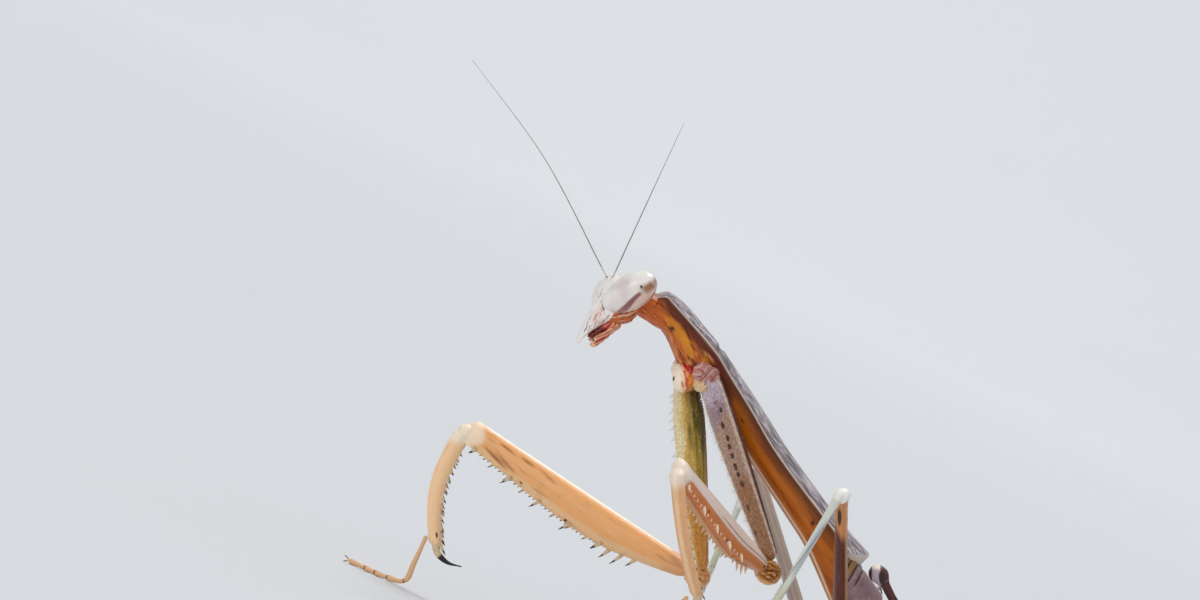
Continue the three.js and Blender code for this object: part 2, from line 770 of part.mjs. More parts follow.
function addWalkingLeg(name, leg, sizes, trunk) {
  const femurPart = femur(leg, sizes.femur);
  const coxaPart = cut(coxa(leg, sizes.coxa), ...trunk.map((t) => grown(t, SEAM)), grown(femurPart, SEAM));
  const tibiaPart = cut(tibia(leg, sizes.tibia), grown(femurPart, SEAM));
  mantis.add(piece(name + "_coxa", coxaPart, "leg"));
  mantis.add(piece(name + "_femur", femurPart, "leg"));
  mantis.add(piece(name + "_tibia", tibiaPart, "leg"));
  mantis.add(piece(name + "_tarsus", cut(foot(leg, sizes.foot), grown(tibiaPart, SEAM)), "leg"));
}

const head = addHead();
const fixed = addChest(head);
const trunk = addTrunk(fixed);
addForeleg("left", LEFT_FORELEG, fixed);
addForeleg("right", RIGHT_FORELEG, fixed);
addWalkingLeg("left_mid", LEFT_MID_LEG, MID_LEG, [trunk.front, trunk.rear]);
addWalkingLeg("right_mid", RIGHT_MID_LEG, MID_LEG, [trunk.front, trunk.rear]);
addWalkingLeg("left_hind", LEFT_HIND_LEG, HIND_LEG, [trunk.rear, abdomenRing(0)]);
addWalkingLeg("right_hind", RIGHT_HIND_LEG, HIND_LEG, [trunk.rear, abdomenRing(0)]);

mantis.position.set(-STANCE_CENTRE[0], -STANCE_CENTRE[1], 0);
export default mantis;
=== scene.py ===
"""A life-size praying mantis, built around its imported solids.

Lengths in the code are millimetres in the animal's stance: +X is its left, -Y the way it faces and
+Z is up, with the floor at zero. Meshes are written in metres in the frame of the solids.
"""

import math

import bmesh
import bpy
import numpy as np
from mathutils import Matrix, Vector


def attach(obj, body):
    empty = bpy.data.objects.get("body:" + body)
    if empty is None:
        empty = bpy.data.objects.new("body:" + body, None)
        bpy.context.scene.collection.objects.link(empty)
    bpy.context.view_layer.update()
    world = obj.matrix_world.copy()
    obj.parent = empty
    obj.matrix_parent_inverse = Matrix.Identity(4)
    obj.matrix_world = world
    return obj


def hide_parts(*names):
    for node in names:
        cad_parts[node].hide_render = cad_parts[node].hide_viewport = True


bl_info = {
    "name": "Praying Mantis",
    "version": (1, 0, 0),
    "blender": (4, 5, 0),
    "location": "View3D > Sidebar > Mantis",
    "description": "Builds a life-size praying mantis and its studio around the packed solids",
    "category": "Object",
}

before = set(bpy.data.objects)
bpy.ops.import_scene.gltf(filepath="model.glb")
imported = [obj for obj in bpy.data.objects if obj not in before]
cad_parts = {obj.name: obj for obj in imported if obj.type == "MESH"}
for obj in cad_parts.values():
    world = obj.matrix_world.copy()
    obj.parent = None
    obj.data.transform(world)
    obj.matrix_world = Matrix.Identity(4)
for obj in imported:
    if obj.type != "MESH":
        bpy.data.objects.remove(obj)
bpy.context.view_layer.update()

MM = 0.001
STANCE_SHIFT = np.array([3.97, -36.72, 0.0])  # from the stance to the frame of the solids
SIDES = {"left": 1, "right": -1}
FLEXING, OUTER = 0.5 * math.pi, -0.5 * math.pi  # angles round a limb: its flexing side and its outer edge
HAIRS, COXA_TEETH = 150, 64  # on each shin and on each fore coxa
BACKWARDS = np.array([0.226, 0.885, 0.407])  # the slanting way back along which colours change
SEED_SHARE, SEED_TURN = 0.61803, 2.39996  # golden steps, which spread hairs evenly

# Places of the parts in the stance
HEAD_AT = (0.0, 0.0, 29.67)
HEAD_TURN = (-5.7, -10.7, 0.1)
FACE_LENGTH = 5.85
HEAD_TOP = 1.0
EYE_AT = (2.36, 1.22, -0.73)
EYE_HALF = (1.42, 1.5, 2.62)
EYE_LEAN = (0.53, 0.22, 0.465)
EYE_SWELL = 0.1
EYE_FRONT = 0.84  # the front half is flatter
CHEST_AT = (0.0, 4.12, 30.61)
CHEST_PITCH = 27.5
CHEST_ROLL = 12.0
SHIELD_LENGTH = 28.3
ABDOMEN_FROM, ABDOMEN_TO, ABDOMEN_RINGS = 41.2, 81.0, 6
WING_FROM, WING_TO = 31.4, 87.9
ANTENNA_TIPS = {"left": (17.8, -4.4, 42.8), "right": (-12.9, -14.4, 41.0)}

FORELEGS = {
    "left": {
        "coxa_at": (2.13, 9.73, 26.1),
        "coxa_end": (2.29, 21.03, 14.32),
        "coxa_front": (0.7, -1.0, 0.0),
        "hip": (2.88, 20.42, 13.5),
        "bulb": (2.67, 21.01, 13.35),
        "knee": (18.0, 5.99, 18.95),
        "wrist": (18.7, 11.4, 10.6),
        "foot": [(19.0, 10.6, 10.4), (20.2, 8.4, 6.0), (20.8, 7.4, 3.4), (21.0, 6.4, 2.2)],
    },
    "right": {
        "coxa_at": (-1.62, 9.12, 25.6),
        "coxa_end": (-0.6, 16.95, 11.0),
        "coxa_front": (0.0, -1.0, 0.0),
        "hip": (-1.54, 16.4, 10.43),
        "bulb": (-1.0, 16.9, 10.6),
        "knee": (-8.4, -3.5, 13.7),
        "wrist": (-7.2, -2.2, 4.05),
        "foot": [(-7.5, -3.2, 4.6), (-7.2, -3.3, 2.2), (-7.3, -3.4, 0.62), (-7.9, -5.0, 0.26),
                 (-8.9, -7.9, 0.26)],
    },
}
THROAT_AT = (0.43, 8.83, 24.94)
WALKING_LEGS = {
    "left_mid": {"coxa_at": (2.3, 31.4, 11.6), "hip": (3.6, 28.7, 10.2), "knee": (18.3, 18.6, 22.25),
                 "ankle": (18.6, 15.9, 1.0), "toes": (0.55, -0.83), "foot": 6.4},
    "right_mid": {"coxa_at": (-2.3, 31.2, 11.6), "hip": (-3.6, 27.7, 10.0), "knee": (-22.1, 24.5, 19.4),
                  "ankle": (-29.4, 26.6, 1.0), "toes": (-0.8, -0.6), "foot": 6.4},
    "left_hind": {"coxa_at": (2.6, 39.0, 10.6), "hip": (3.7, 42.0, 8.4), "knee": (17.0, 60.5, 23.6),
                  "ankle": (22.5, 76.0, 1.0), "toes": (0.5, 0.87), "foot": 8.0},
    "right_hind": {"coxa_at": (-2.6, 39.0, 10.6), "hip": (-3.7, 42.0, 8.4), "knee": (-17.0, 62.0, 22.2),
                   "ankle": (-23.5, 76.5, 1.0), "toes": (-0.62, 0.78), "foot": 8.0},
}


def shade(red, green, blue):
    """A colour given in everyday 0 to 255 values, as linear ones."""
    parts = (c / 255 for c in (red, green, blue))
    return tuple(c / 12.92 if c <= 0.04045 else ((c + 0.055) / 1.055) ** 2.4 for c in parts)


def linear(colour):
    """A colour as linear values, from everyday ones or from a property that holds linear ones."""
    return shade(*colour) if max(colour) > 1 else tuple(colour)


def size_property(name, description, default, least, most):
    return bpy.props.FloatProperty(name=name, description=description, default=default, min=least, max=most,
        unit="LENGTH", precision=5)


def colour_property(name, description, *default):
    return bpy.props.FloatVectorProperty(name=name, description=description, default=shade(*default),
        size=3, min=0.0, max=1.0, subtype="COLOR")


class MantisSizes(bpy.types.PropertyGroup):
    """Sizes that a user may change."""

    antenna_thickness: size_property("Antenna thickness", "Thickness of an antenna at its root", 0.00009,
        0.00005, 0.0004)
    hair_length: size_property("Hair length", "Length of the fine hairs on the legs", 0.00032, 0.0, 0.0008)
    spine_thickness: size_property("Spine thickness", "Thickness of a foreleg spine at its root", 0.00034,
        0.0001, 0.0006)
    rim_thickness: size_property("Rim thickness", "Thickness of the chest shield's raised rim", 0.00026,
        0.0001, 0.0005)
    floor_radius: size_property("Floor radius", "Radius of the flat part of the studio floor", 4.0, 2.0,
        10.0)


class MantisColours(bpy.types.PropertyGroup):
    """Main colours, as linear values."""

    face: colour_property("Face", "Pale colour of the head", 247, 242, 238)
    eye: colour_property("Eye", "Pale colour of the eyes", 242, 236, 230)
    cheek: colour_property("Cheek", "Orange brown of the head's underside", 206, 104, 44)
    # The amber of the flanks is partly their own colour and partly painted warm light bounced up from
    # below.
    amber: colour_property("Amber", "Glossy amber of the chest's flanks", 166, 82, 8)
    # The shield's lavender grey is partly its own colour and partly painted reflection of a pale sky.
    shield: colour_property("Shield", "Lavender grey of the chest shield", 184, 175, 182)
    foreleg: colour_property("Foreleg", "Tan of the stretched foreleg", 240, 176, 112)
    leg: colour_property("Walking leg", "Pale grey brown of the walking legs", 186, 168, 150)
    wing: colour_property("Wing", "Brown of the folded wings", 150, 118, 88)
    floor: colour_property("Floor", "Pale colour of the studio floor", 216, 219, 223)


# Numbers and curves


def profile(*pairs):
    """A smooth function through a few (position, value) pairs, level beyond both ends."""
    at = np.array([p[0] for p in pairs], float)
    value = np.array([p[1] for p in pairs], float)
    last = len(at) - 1
    before = np.maximum(np.arange(last + 1) - 1, 0)
    after = np.minimum(np.arange(last + 1) + 1, last)
    slope = (value[after] - value[before]) / (at[after] - at[before])

    def read(x):
        x = np.clip(np.asarray(x, float), at[0], at[last])
        i = np.clip(np.searchsorted(at, x, side="right") - 1, 0, last - 1)
        span = at[i + 1] - at[i]
        t = (x - at[i]) / span
        rise = value[i + 1] - value[i]
        a, b = slope[i] * span, slope[i + 1] * span
        return value[i] + t * (a + t * (3 * rise - 2 * a - b + t * (a + b - 2 * rise)))

    return read


def smooth(x, start, end):
    t = np.clip((np.asarray(x, float) - start) / (end - start), 0, 1)
    return t * t * (3 - 2 * t)


def fade(x, start, end):
    """1 up to the start, falling smoothly to 0 at the end."""
    return 1 - smooth(x, start, end)


def hump(x, centre, half):
    """1 at the centre, falling smoothly to 0 at half a width on each side."""
    return fade(np.abs(np.asarray(x, float) - centre), 0, half)


def unit(v):
    v = np.asarray(v, float)
    return v / np.linalg.norm(v)


def apart(turn, angle):
    """The turn from one angle to others, from minus half a turn to half a turn."""
    return np.angle(np.exp(1j * (turn - angle)))


def line_along(turn, angle, half):
    """A soft line that runs lengthwise at an angle round a piece."""
    return hump(apart(turn, angle), 0, half)


def limb_axes(start, end, towards):
    """Unit vectors along a limb, towards its flexing side and across."""
    axis = unit(np.subtract(end, start))
    flex = np.subtract(towards, start)
    flex = unit(flex - axis * flex.dot(axis))
    return axis, flex, np.cross(axis, flex)


def three_axis_turn(x, y, z):
    """Turns about X, then Y, then Z of the turned frame."""
    return (Matrix.Rotation(math.radians(x), 4, "X") @ Matrix.Rotation(math.radians(y), 4, "Y")
        @ Matrix.Rotation(math.radians(z), 4, "Z"))


CHEST = np.array(Matrix.Translation(CHEST_AT) @ three_axis_turn(-CHEST_PITCH, -CHEST_ROLL, 0))
SKULL = np.array(Matrix.Translation(HEAD_AT) @ three_axis_turn(*HEAD_TURN))


def from_local(matrix, points):
    return np.asarray(points, float) @ matrix[:3, :3].T + matrix[:3, 3]


# Making and joining meshes


def nothing_selected():
    if bpy.context.object and bpy.context.object.mode != "OBJECT":
        bpy.ops.object.mode_set(mode="OBJECT")
    bpy.ops.object.select_all(action="DESELECT")


def named(name):
    piece = bpy.context.object
    piece.name = piece.data.name = name
    return piece


def select_edges(piece, wanted):
    """In edit mode, selects the edges that a test holds for, and nothing else."""
    bpy.ops.mesh.select_mode(type="EDGE")
    bpy.ops.mesh.select_all(action="DESELECT")
    mesh = bmesh.from_edit_mesh(piece.data)
    for edge in mesh.edges:
        if wanted(edge):
            edge.select_set(True)
    bmesh.update_edit_mesh(piece.data)


def edited(piece, *steps):
    """Runs steps on everything of a piece, in edit mode."""
    nothing_selected()
    piece.select_set(True)
    bpy.context.view_layer.objects.active = piece
    bpy.ops.object.mode_set(mode="EDIT")
    bpy.ops.mesh.select_all(action="SELECT")
    for step in steps:
        step()
    bpy.ops.object.mode_set(mode="OBJECT")
    return piece


def upright(edge):
    return abs(edge.verts[0].co.z - edge.verts[1].co.z) > 0.5


def cut_lengthwise(piece, cuts):
    """Cuts every upright edge of a piece into shorter ones."""
    bpy.ops.object.mode_set(mode="EDIT")
    select_edges(piece, upright)
    bpy.ops.mesh.subdivide(number_cuts=cuts)
    bpy.ops.object.mode_set(mode="OBJECT")
    bpy.ops.object.shade_smooth()
    return piece


def tube(name, sides, rings):
    """A closed tube of unit size along Z: rings of quads between two fans."""
    nothing_selected()
    bpy.ops.mesh.primitive_cylinder_add(vertices=sides, radius=1, depth=1, end_fill_type="TRIFAN")
    piece = named(name)
    return cut_lengthwise(piece, rings - 1)


def ball(name, segments, rings):
    nothing_selected()
    bpy.ops.mesh.primitive_uv_sphere_add(segments=segments, ring_count=rings, radius=1)
    piece = named(name)
    bpy.ops.object.shade_smooth()
    return piece


def points_of(piece):
    co = np.empty(len(piece.data.vertices) * 3)
    piece.data.vertices.foreach_get("co", co)
    return co.reshape(-1, 3)


def set_points(piece, stance_points):
    """Puts every point at its place, given in the stance."""
    placed = (np.asarray(stance_points, float) + STANCE_SHIFT) * MM
    piece.data.vertices.foreach_set("co", placed.ravel())
    piece.data.update()


def shaped(piece, local, matrix=None, at=0.0):
    """Puts every point at its local place and marks that place as its grain."""
    set_points(piece, (local if matrix is None else from_local(matrix, local)) + at)
    mark(piece, grain=local)
    return piece


def stance_points(piece):
    return points_of(piece) / MM - STANCE_SHIFT


def tube_ways(piece):
    """How far along a tube each of its points lies (0 to 1), its angle round and its way out."""
    co = points_of(piece)
    out = np.where(np.hypot(co[:, 0], co[:, 1]) > 0.5, 1.0, 0.0)
    return co[:, 2] + 0.5, np.arctan2(co[:, 1], co[:, 0]), out


def mark(piece, **marks):
    """Stores marks for the finish to read: each is a number or a vector at every point, or one for all."""
    count = len(piece.data.vertices)
    for name, values in marks.items():
        values = np.asarray(values, np.float32)
        values = values if values.ndim else np.full(count, values)
        kind, key = ("FLOAT", "value") if values.ndim == 1 else ("FLOAT_VECTOR", "vector")
        held = piece.data.attributes.get(name) or piece.data.attributes.new(name, kind, "POINT")
        held.data.foreach_set(key, values.ravel())


def joined(name, pieces):
    nothing_selected()
    for piece in pieces:
        piece.select_set(True)
    bpy.context.view_layer.objects.active = pieces[0]
    if len(pieces) > 1:
        bpy.ops.object.join()
    return named(name)


def placed(piece, finish, slot, *nodes):
    """Gives a finished piece its finish, hangs it from the root and hides the solids that it stands in for.
    """
    piece.data.materials.clear()
    piece.data.materials.append(finish)
    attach(piece, "root")
    if nodes:
        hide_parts(*nodes)
    return piece


def ring_spread(along, start, end):
    """Crowds a tube's rings into its two rounded ends, each of which takes a share of them."""
    head, tail = 0.14, 0.86
    first = start * (1 - np.cos(0.5 * math.pi * np.clip(along / head, 0, 1)))
    last = end * (1 - np.cos(0.5 * math.pi * np.clip((1 - along) / (1 - tail), 0, 1)))
    middle = start + (1 - start - end) * (along - head) / (tail - head)
    return np.where(along < head, first, np.where(along > tail, 1 - last, middle))


def ring_round(t, start, end):
    """How full a tube is along it, with two rounded ends."""
    near = np.clip(1 - t / start, 0, 1)
    far = np.clip(1 - (1 - t) / end, 0, 1)
    return np.maximum(0.08, np.sqrt(np.maximum(0, 1 - near**2)) * np.sqrt(np.maximum(0, 1 - far**2)))


class Limb:
    """A leg piece between two points. wide and deep are its full sizes along it, bow shifts it to the
    flexing side and relief(t, turn) raises its surface."""

    def __init__(self, start, end, towards, wide, deep, relief, ends, bow=None):
        self.start = np.asarray(start, float)
        self.end = np.asarray(end, float)
        self.axis, self.flex, self.side = limb_axes(start, end, towards)
        self.length = float(np.linalg.norm(self.end - self.start))
        self.wide, self.deep, self.relief, self.ends = wide, deep, relief, ends
        self.bow = bow or (lambda t: 0.0 * t)

    def at(self, t, turn, out=1.0):
        """The place on the surface, and the same place on the straightened piece."""
        t, turn = np.asarray(t, float), np.asarray(turn, float)
        round_off = ring_round(t, *self.ends) * out
        raised = self.relief(t, turn) * round_off
        x = (0.5 * self.wide(t) * round_off + raised) * np.cos(turn)
        y = (0.5 * self.deep(t) * round_off + raised) * np.sin(turn) + self.bow(t)
        grain = np.stack(np.broadcast_arrays(x, y, self.length * t), -1)
        return self.start + grain @ np.stack([self.side, self.flex, self.axis]), grain

    def skin(self, name, sides, rings):
        piece = tube(name, sides, rings)
        along, turn, out = tube_ways(piece)
        t = ring_spread(along, *self.ends)
        place, grain = self.at(t, turn, out)
        set_points(piece, place)
        mark(piece, grain=grain)
        return piece, t, turn


def curve_through(points):
    """A smooth curve through the points, and how far along it each of its places is."""
    knots = np.asarray(points, float)
    padded = np.vstack([2 * knots[0] - knots[1], knots, 2 * knots[-1] - knots[-2]])
    steps = np.linspace(0, 1, 40, endpoint=False)[:, None]
    spans = []
    for i in range(len(knots) - 1):
        a, b, c, d = padded[i:i + 4]
        spans.append(0.5 * (2 * b + (c - a) * steps + (2 * a - 5 * b + 4 * c - d) * steps**2
            + (3 * b - a - 3 * c + d) * steps**3))
    curve = np.vstack([*spans, knots[-1:]])
    run = np.concatenate([[0], np.cumsum(np.linalg.norm(np.diff(curve, axis=0), axis=1))])
    return curve, run


def strokes(at, *lines):
    """How near each place lies to painted lines, from 0 to 1. A line is (half width, places on it) and
    thins out to both ends."""
    at = np.asarray(at, float)
    at = at + 0.035 * np.sin(11 * at[:, [1, 2, 0]] + 7 * at[:, [2, 0, 1]])
    total = np.zeros(len(at))
    for half, places in lines:
        curve, run = curve_through(places)
        near = np.all((at > curve.min(0) - half) & (at < curve.max(0) + half), axis=1)
        if near.any():
            away = np.linalg.norm(at[near][:, None] - curve[None], axis=2)
            share = run[away.argmin(1)] / run[-1]
            width = half * (0.3 + 0.7 * np.sqrt(np.sin(math.pi * np.clip(share, 0.01, 0.99))))
            total[near] = np.maximum(total[near], fade(away.min(1) / width, 0.35, 1))
    return total


def feeler(name, points, thickness, sides, rings, up=(0.1, 0.05, 1.0), ends=(0.02, 0.03)):
    """A round piece along a smooth curve, with its thickness given along it."""
    piece = tube(name, sides, rings)
    along, turn, out = tube_ways(piece)
    t = ring_spread(along, *ends)
    curve, run = curve_through(points)
    tangents = np.gradient(curve, axis=0)
    way = t * run[-1]
    centre = np.stack([np.interp(way, run, curve[:, k]) for k in range(3)], 1)
    axis = np.stack([np.interp(way, run, tangents[:, k]) for k in range(3)], 1)
    axis /= np.linalg.norm(axis, axis=1)[:, None]
    above = np.asarray(up) - axis * (axis @ np.asarray(up))[:, None]
    above /= np.linalg.norm(above, axis=1)[:, None]
    beside = np.cross(axis, above)
    reach = 0.5 * thickness(t) * ring_round(t, *ends) * out
    x, y = reach * np.cos(turn), reach * np.sin(turn)
    set_points(piece, centre + beside * x[:, None] + above * y[:, None])
    mark(piece, grain=np.stack([x, y, way], 1))
    return piece, t, turn


def spine_model():
    """One pointed, slightly hooked spine of unit length along Z, copied wherever one stands."""
    nothing_selected()
    bpy.ops.mesh.primitive_cone_add(vertices=8, radius1=0.5, radius2=0.03, depth=1, location=(0, 0, 0.5))
    model = named("spine_model")
    bpy.ops.object.transform_apply(location=True, rotation=True, scale=True)
    cut_lengthwise(model, 3)
    co = points_of(model)
    up = np.clip(co[:, 2], 0, 1)
    swell = 1 + 0.25 * np.sin(math.pi * up)
    co[:, 0] = co[:, 0] * swell + 0.35 * up**2
    co[:, 1] *= swell
    model.data.vertices.foreach_set("co", co.ravel())
    mark(model, tip=up)
    return model


def spines(model, stands):
    """Copies of the spine. A stand is (root, direction, hook direction, length, thickness)."""
    made = []
    for root, away, hook, length, thickness in stands:
        z = unit(away)
        x = np.asarray(hook, float)
        x = unit(x - z * x.dot(z))
        y = np.cross(z, x)
        mesh = model.data.copy()
        copy = bpy.data.objects.new("spine", mesh)
        bpy.context.scene.collection.objects.link(copy)
        co = points_of(model) * [thickness, thickness, length]
        set_points(copy, np.asarray(root) + co @ np.stack([x, y, z]))
        grain = np.tile(np.asarray(root, float), (len(co), 1)) + co
        mark(copy, grain=grain)
        made.append(copy)
    return made


def removed(piece):
    mesh = piece.data
    bpy.data.objects.remove(piece)
    bpy.data.meshes.remove(mesh)


# Finishes


class Finish:
    """A material and short ways to add nodes to it."""

    def __init__(self, name):
        self.material = bpy.data.materials.new(name)
        self.material.use_nodes = True
        self.tree = self.material.node_tree
        self.shader = self.tree.nodes["Principled BSDF"]

    def node(self, kind, **settings):
        made = self.tree.nodes.new(kind)
        for key, value in settings.items():
            setattr(made, key, value)
        return made

    def put(self, socket, value):
        """Links a value from another node to a socket, or sets it there."""
        if isinstance(value, bpy.types.NodeSocket):
            self.tree.links.new(value, socket)
        else:
            socket.default_value = value

    def texture(self, kind, **inputs):
        made = self.node(kind)
        for name, value in inputs.items():
            self.put(made.inputs[name], value)
        return made

    def mark(self, name, vector=False):
        return self.node("ShaderNodeAttribute", attribute_name=name).outputs["Vector" if vector else "Fac"]

    def stretched(self, vector, scale):
        return self.texture("ShaderNodeMapping", Vector=vector, Scale=scale).outputs["Vector"]

    def noise(self, vector, scale, detail=3.0, roughness=0.55):
        return self.texture("ShaderNodeTexNoise", Vector=vector, Scale=scale, Detail=detail,
            Roughness=roughness).outputs["Fac"]

    def cells(self, vector, scale, feature="F1"):
        made = self.texture("ShaderNodeTexVoronoi", Vector=vector, Scale=scale)
        made.feature = feature
        return made.outputs["Distance"]

    def between(self, value, low, high, to_low=0.0, to_high=1.0):
        made = self.node("ShaderNodeMapRange", interpolation_type="SMOOTHSTEP")
        self.put(made.inputs["Value"], value)
        for key, number in (("From Min", low), ("From Max", high), ("To Min", to_low), ("To Max", to_high)):
            made.inputs[key].default_value = number
        return made.outputs["Result"]

    def sum_of(self, operation, a, b):
        made = self.node("ShaderNodeMath", operation=operation)
        self.put(made.inputs[0], a)
        self.put(made.inputs[1], b)
        return made.outputs["Value"]

    def mixed(self, share, a, b, blend="MIX"):
        made = self.node("ShaderNodeMix", data_type="RGBA", blend_type=blend)
        self.put(made.inputs[0], share)
        for socket, tone in ((made.inputs[6], a), (made.inputs[7], b)):
            self.put(socket, tone if isinstance(tone, bpy.types.NodeSocket) else (*linear(tone), 1.0))
        return made.outputs[2]

    def painted(self, tone, **layers):
        """Lays a colour over the tone wherever its mark stands: (red, green, blue) or with a share."""
        for name, (*colour, share) in ((k, v if len(v) == 4 else (*v, 1)) for k, v in layers.items()):
            cover = self.mark(name)
            tone = self.mixed(cover if share == 1 else self.times(cover, share), tone, colour)
        return tone

    def times(self, a, b):
        return self.sum_of("MULTIPLY", a, b)

    def bumped(self, height, distance, strength=1.0, under=None):
        below = {} if under is None else {"Normal": under}
        made = self.texture("ShaderNodeBump", Height=height, Distance=distance * MM, Strength=strength,
            **below)
        return made.outputs["Normal"]

    def end(self, tone, rough, relief=None, coat=(), specular=None, glow=()):
        """Joins colour, roughness and relief to the shader. coat is a gloss and its roughness; glow is
        the share of light that goes under the surface, how far each colour goes and their reach."""
        values = {"Base Color": tone, "Roughness": rough, "Normal": relief, "Specular IOR Level": specular}
        values.update(zip(("Coat Weight", "Coat Roughness"), coat))
        if glow:
            share, colours, reach = glow
            values.update({"Subsurface Weight": share, "Subsurface Radius": colours,
                "Subsurface Scale": reach * MM})
        for name, value in values.items():
            if value is not None:
                self.put(self.shader.inputs[name], value)
        return self.material


def cuticle(name, base, layers, rough=0.4, streaks=0.18, streak_scale=(2.4, 2.4, 0.25),
            speckle=None, pits=0.5, gloss=0.25, glow=0.0, pebbles=0.0):
    """The finish of hard insect skin: a base colour, a layer (red, green, blue, ragged edge) wherever
    its mark stands, streaks along the grain, speckles, pits in the surface and a thin gloss."""
    made = Finish(name)
    grain = made.mark("grain", vector=True)
    streak = made.noise(made.stretched(grain, streak_scale), 1.0, 4.0, 0.6)
    mottle = made.noise(grain, 0.9, 3.0)
    fine = made.noise(grain, 9.0, 3.0, 0.6)
    tone = base
    for mark_name, (*layer, edge) in layers.items():
        share = made.mark(mark_name)
        if edge:
            share = made.sum_of("ADD", share, made.times(made.sum_of("SUBTRACT", streak, 0.5), edge))
            share = made.between(share, 0.25, 0.75)
        tone = made.mixed(share, tone, layer)
    dark = made.mixed(1.0, tone, (0.62, 0.55, 0.50), "MULTIPLY")
    light = made.mixed(0.25, tone, (0.95, 0.93, 0.9))
    tone = made.mixed(made.between(streak, 0.55, 0.8, 0.0, streaks * 2.2), tone, dark)
    tone = made.mixed(made.between(streak, 0.45, 0.2, 0.0, streaks * 1.6), tone, light)
    tone = made.mixed(made.between(mottle, 0.55, 0.8, 0.0, streaks), tone, dark)
    if speckle:
        *colour, scale, amount = speckle
        dots = made.between(made.cells(grain, scale), 0.28, 0.16)
        patchy = made.between(made.noise(grain, scale * 0.35, 2.0), 0.5, 0.62)
        tone = made.mixed(made.times(made.times(dots, patchy), amount), tone, colour)
    if pebbles:
        stones = made.cells(made.stretched(grain, (1.0, 1.0, 0.7)), 5.5)
        tone = made.mixed(made.between(stones, 0.35, 0.6, 0.0, 0.7 * pebbles), tone, dark)
        tone = made.mixed(made.between(stones, 0.25, 0.1, 0.0, 0.35 * pebbles), tone, light)
    relief = made.bumped(fine, 0.05, pits)
    relief = made.bumped(streak, 0.06, pits * 0.8, relief)
    if pebbles:
        relief = made.bumped(made.between(stones, 0.5, 0.0), 0.05, pebbles, relief)
    return made.end(tone, made.between(fine, 0.3, 0.7, rough - 0.08, rough + 0.1), relief, (gloss, 0.22),
        0.28, (glow, (1.0, 0.45, 0.25), 0.6) if glow else ())


# Head


HEAD_HALF_WIDTH = profile((-5.85, 0.28), (-5.2, 0.6), (-4.2, 0.85), (-3.2, 1.25), (-2.4, 1.6), (-1.5, 1.9),
    (-0.4, 2.2), (0.4, 1.8), (1.1, 0.9))
HEAD_FRONT = profile((-5.85, -0.08), (-3, -0.2), (-1.5, -0.25), (-0.3, -0.12), (0.1, 0.1), (0.5, 0.7),
    (1.1, 1.6))
HEAD_BACK = profile((-5.85, 0.12), (-5.2, 0.24), (-4.2, 0.76), (-3.4, 1.4), (-2.9, 2.4), (-2.3, 3.05),
    (-1.6, 3.2), (-0.4, 3.15), (0.5, 2.7), (1.1, 2.3))
SOCKETS = ((0.5, -0.05), (-0.5, -0.05))
OCELLI = ((0.0, 0.42), (0.26, 0.56), (-0.26, 0.56))


def powered(c, power):
    return np.sign(c) * np.abs(c) ** power


def face_plates(x, z):
    """How much each plate of the face stands at a place: brow shield, lip base and upper lip, and the
    grooves between them."""
    wide = np.abs(x)
    brow = smooth(1.35 - wide, 0, 0.1) * smooth(z + 1.62, 0, 0.1) * smooth(-0.12 - z - 0.25 * wide, 0, 0.1)
    base = (smooth(1.0 + 0.08 * (z + 1.7) - wide, 0, 0.1) * smooth(z + 3.02, 0, 0.1)
        * smooth(-1.74 - z, 0, 0.1))
    lip = smooth(0.86 + 0.1 * (z + 3.1) - wide, 0, 0.12) * smooth(-3.14 - z, 0, 0.1)
    edges = [4 * plate * (1 - plate) for plate in (brow, base, lip)]
    return brow, base, lip, np.clip(sum(edges), 0, 1)


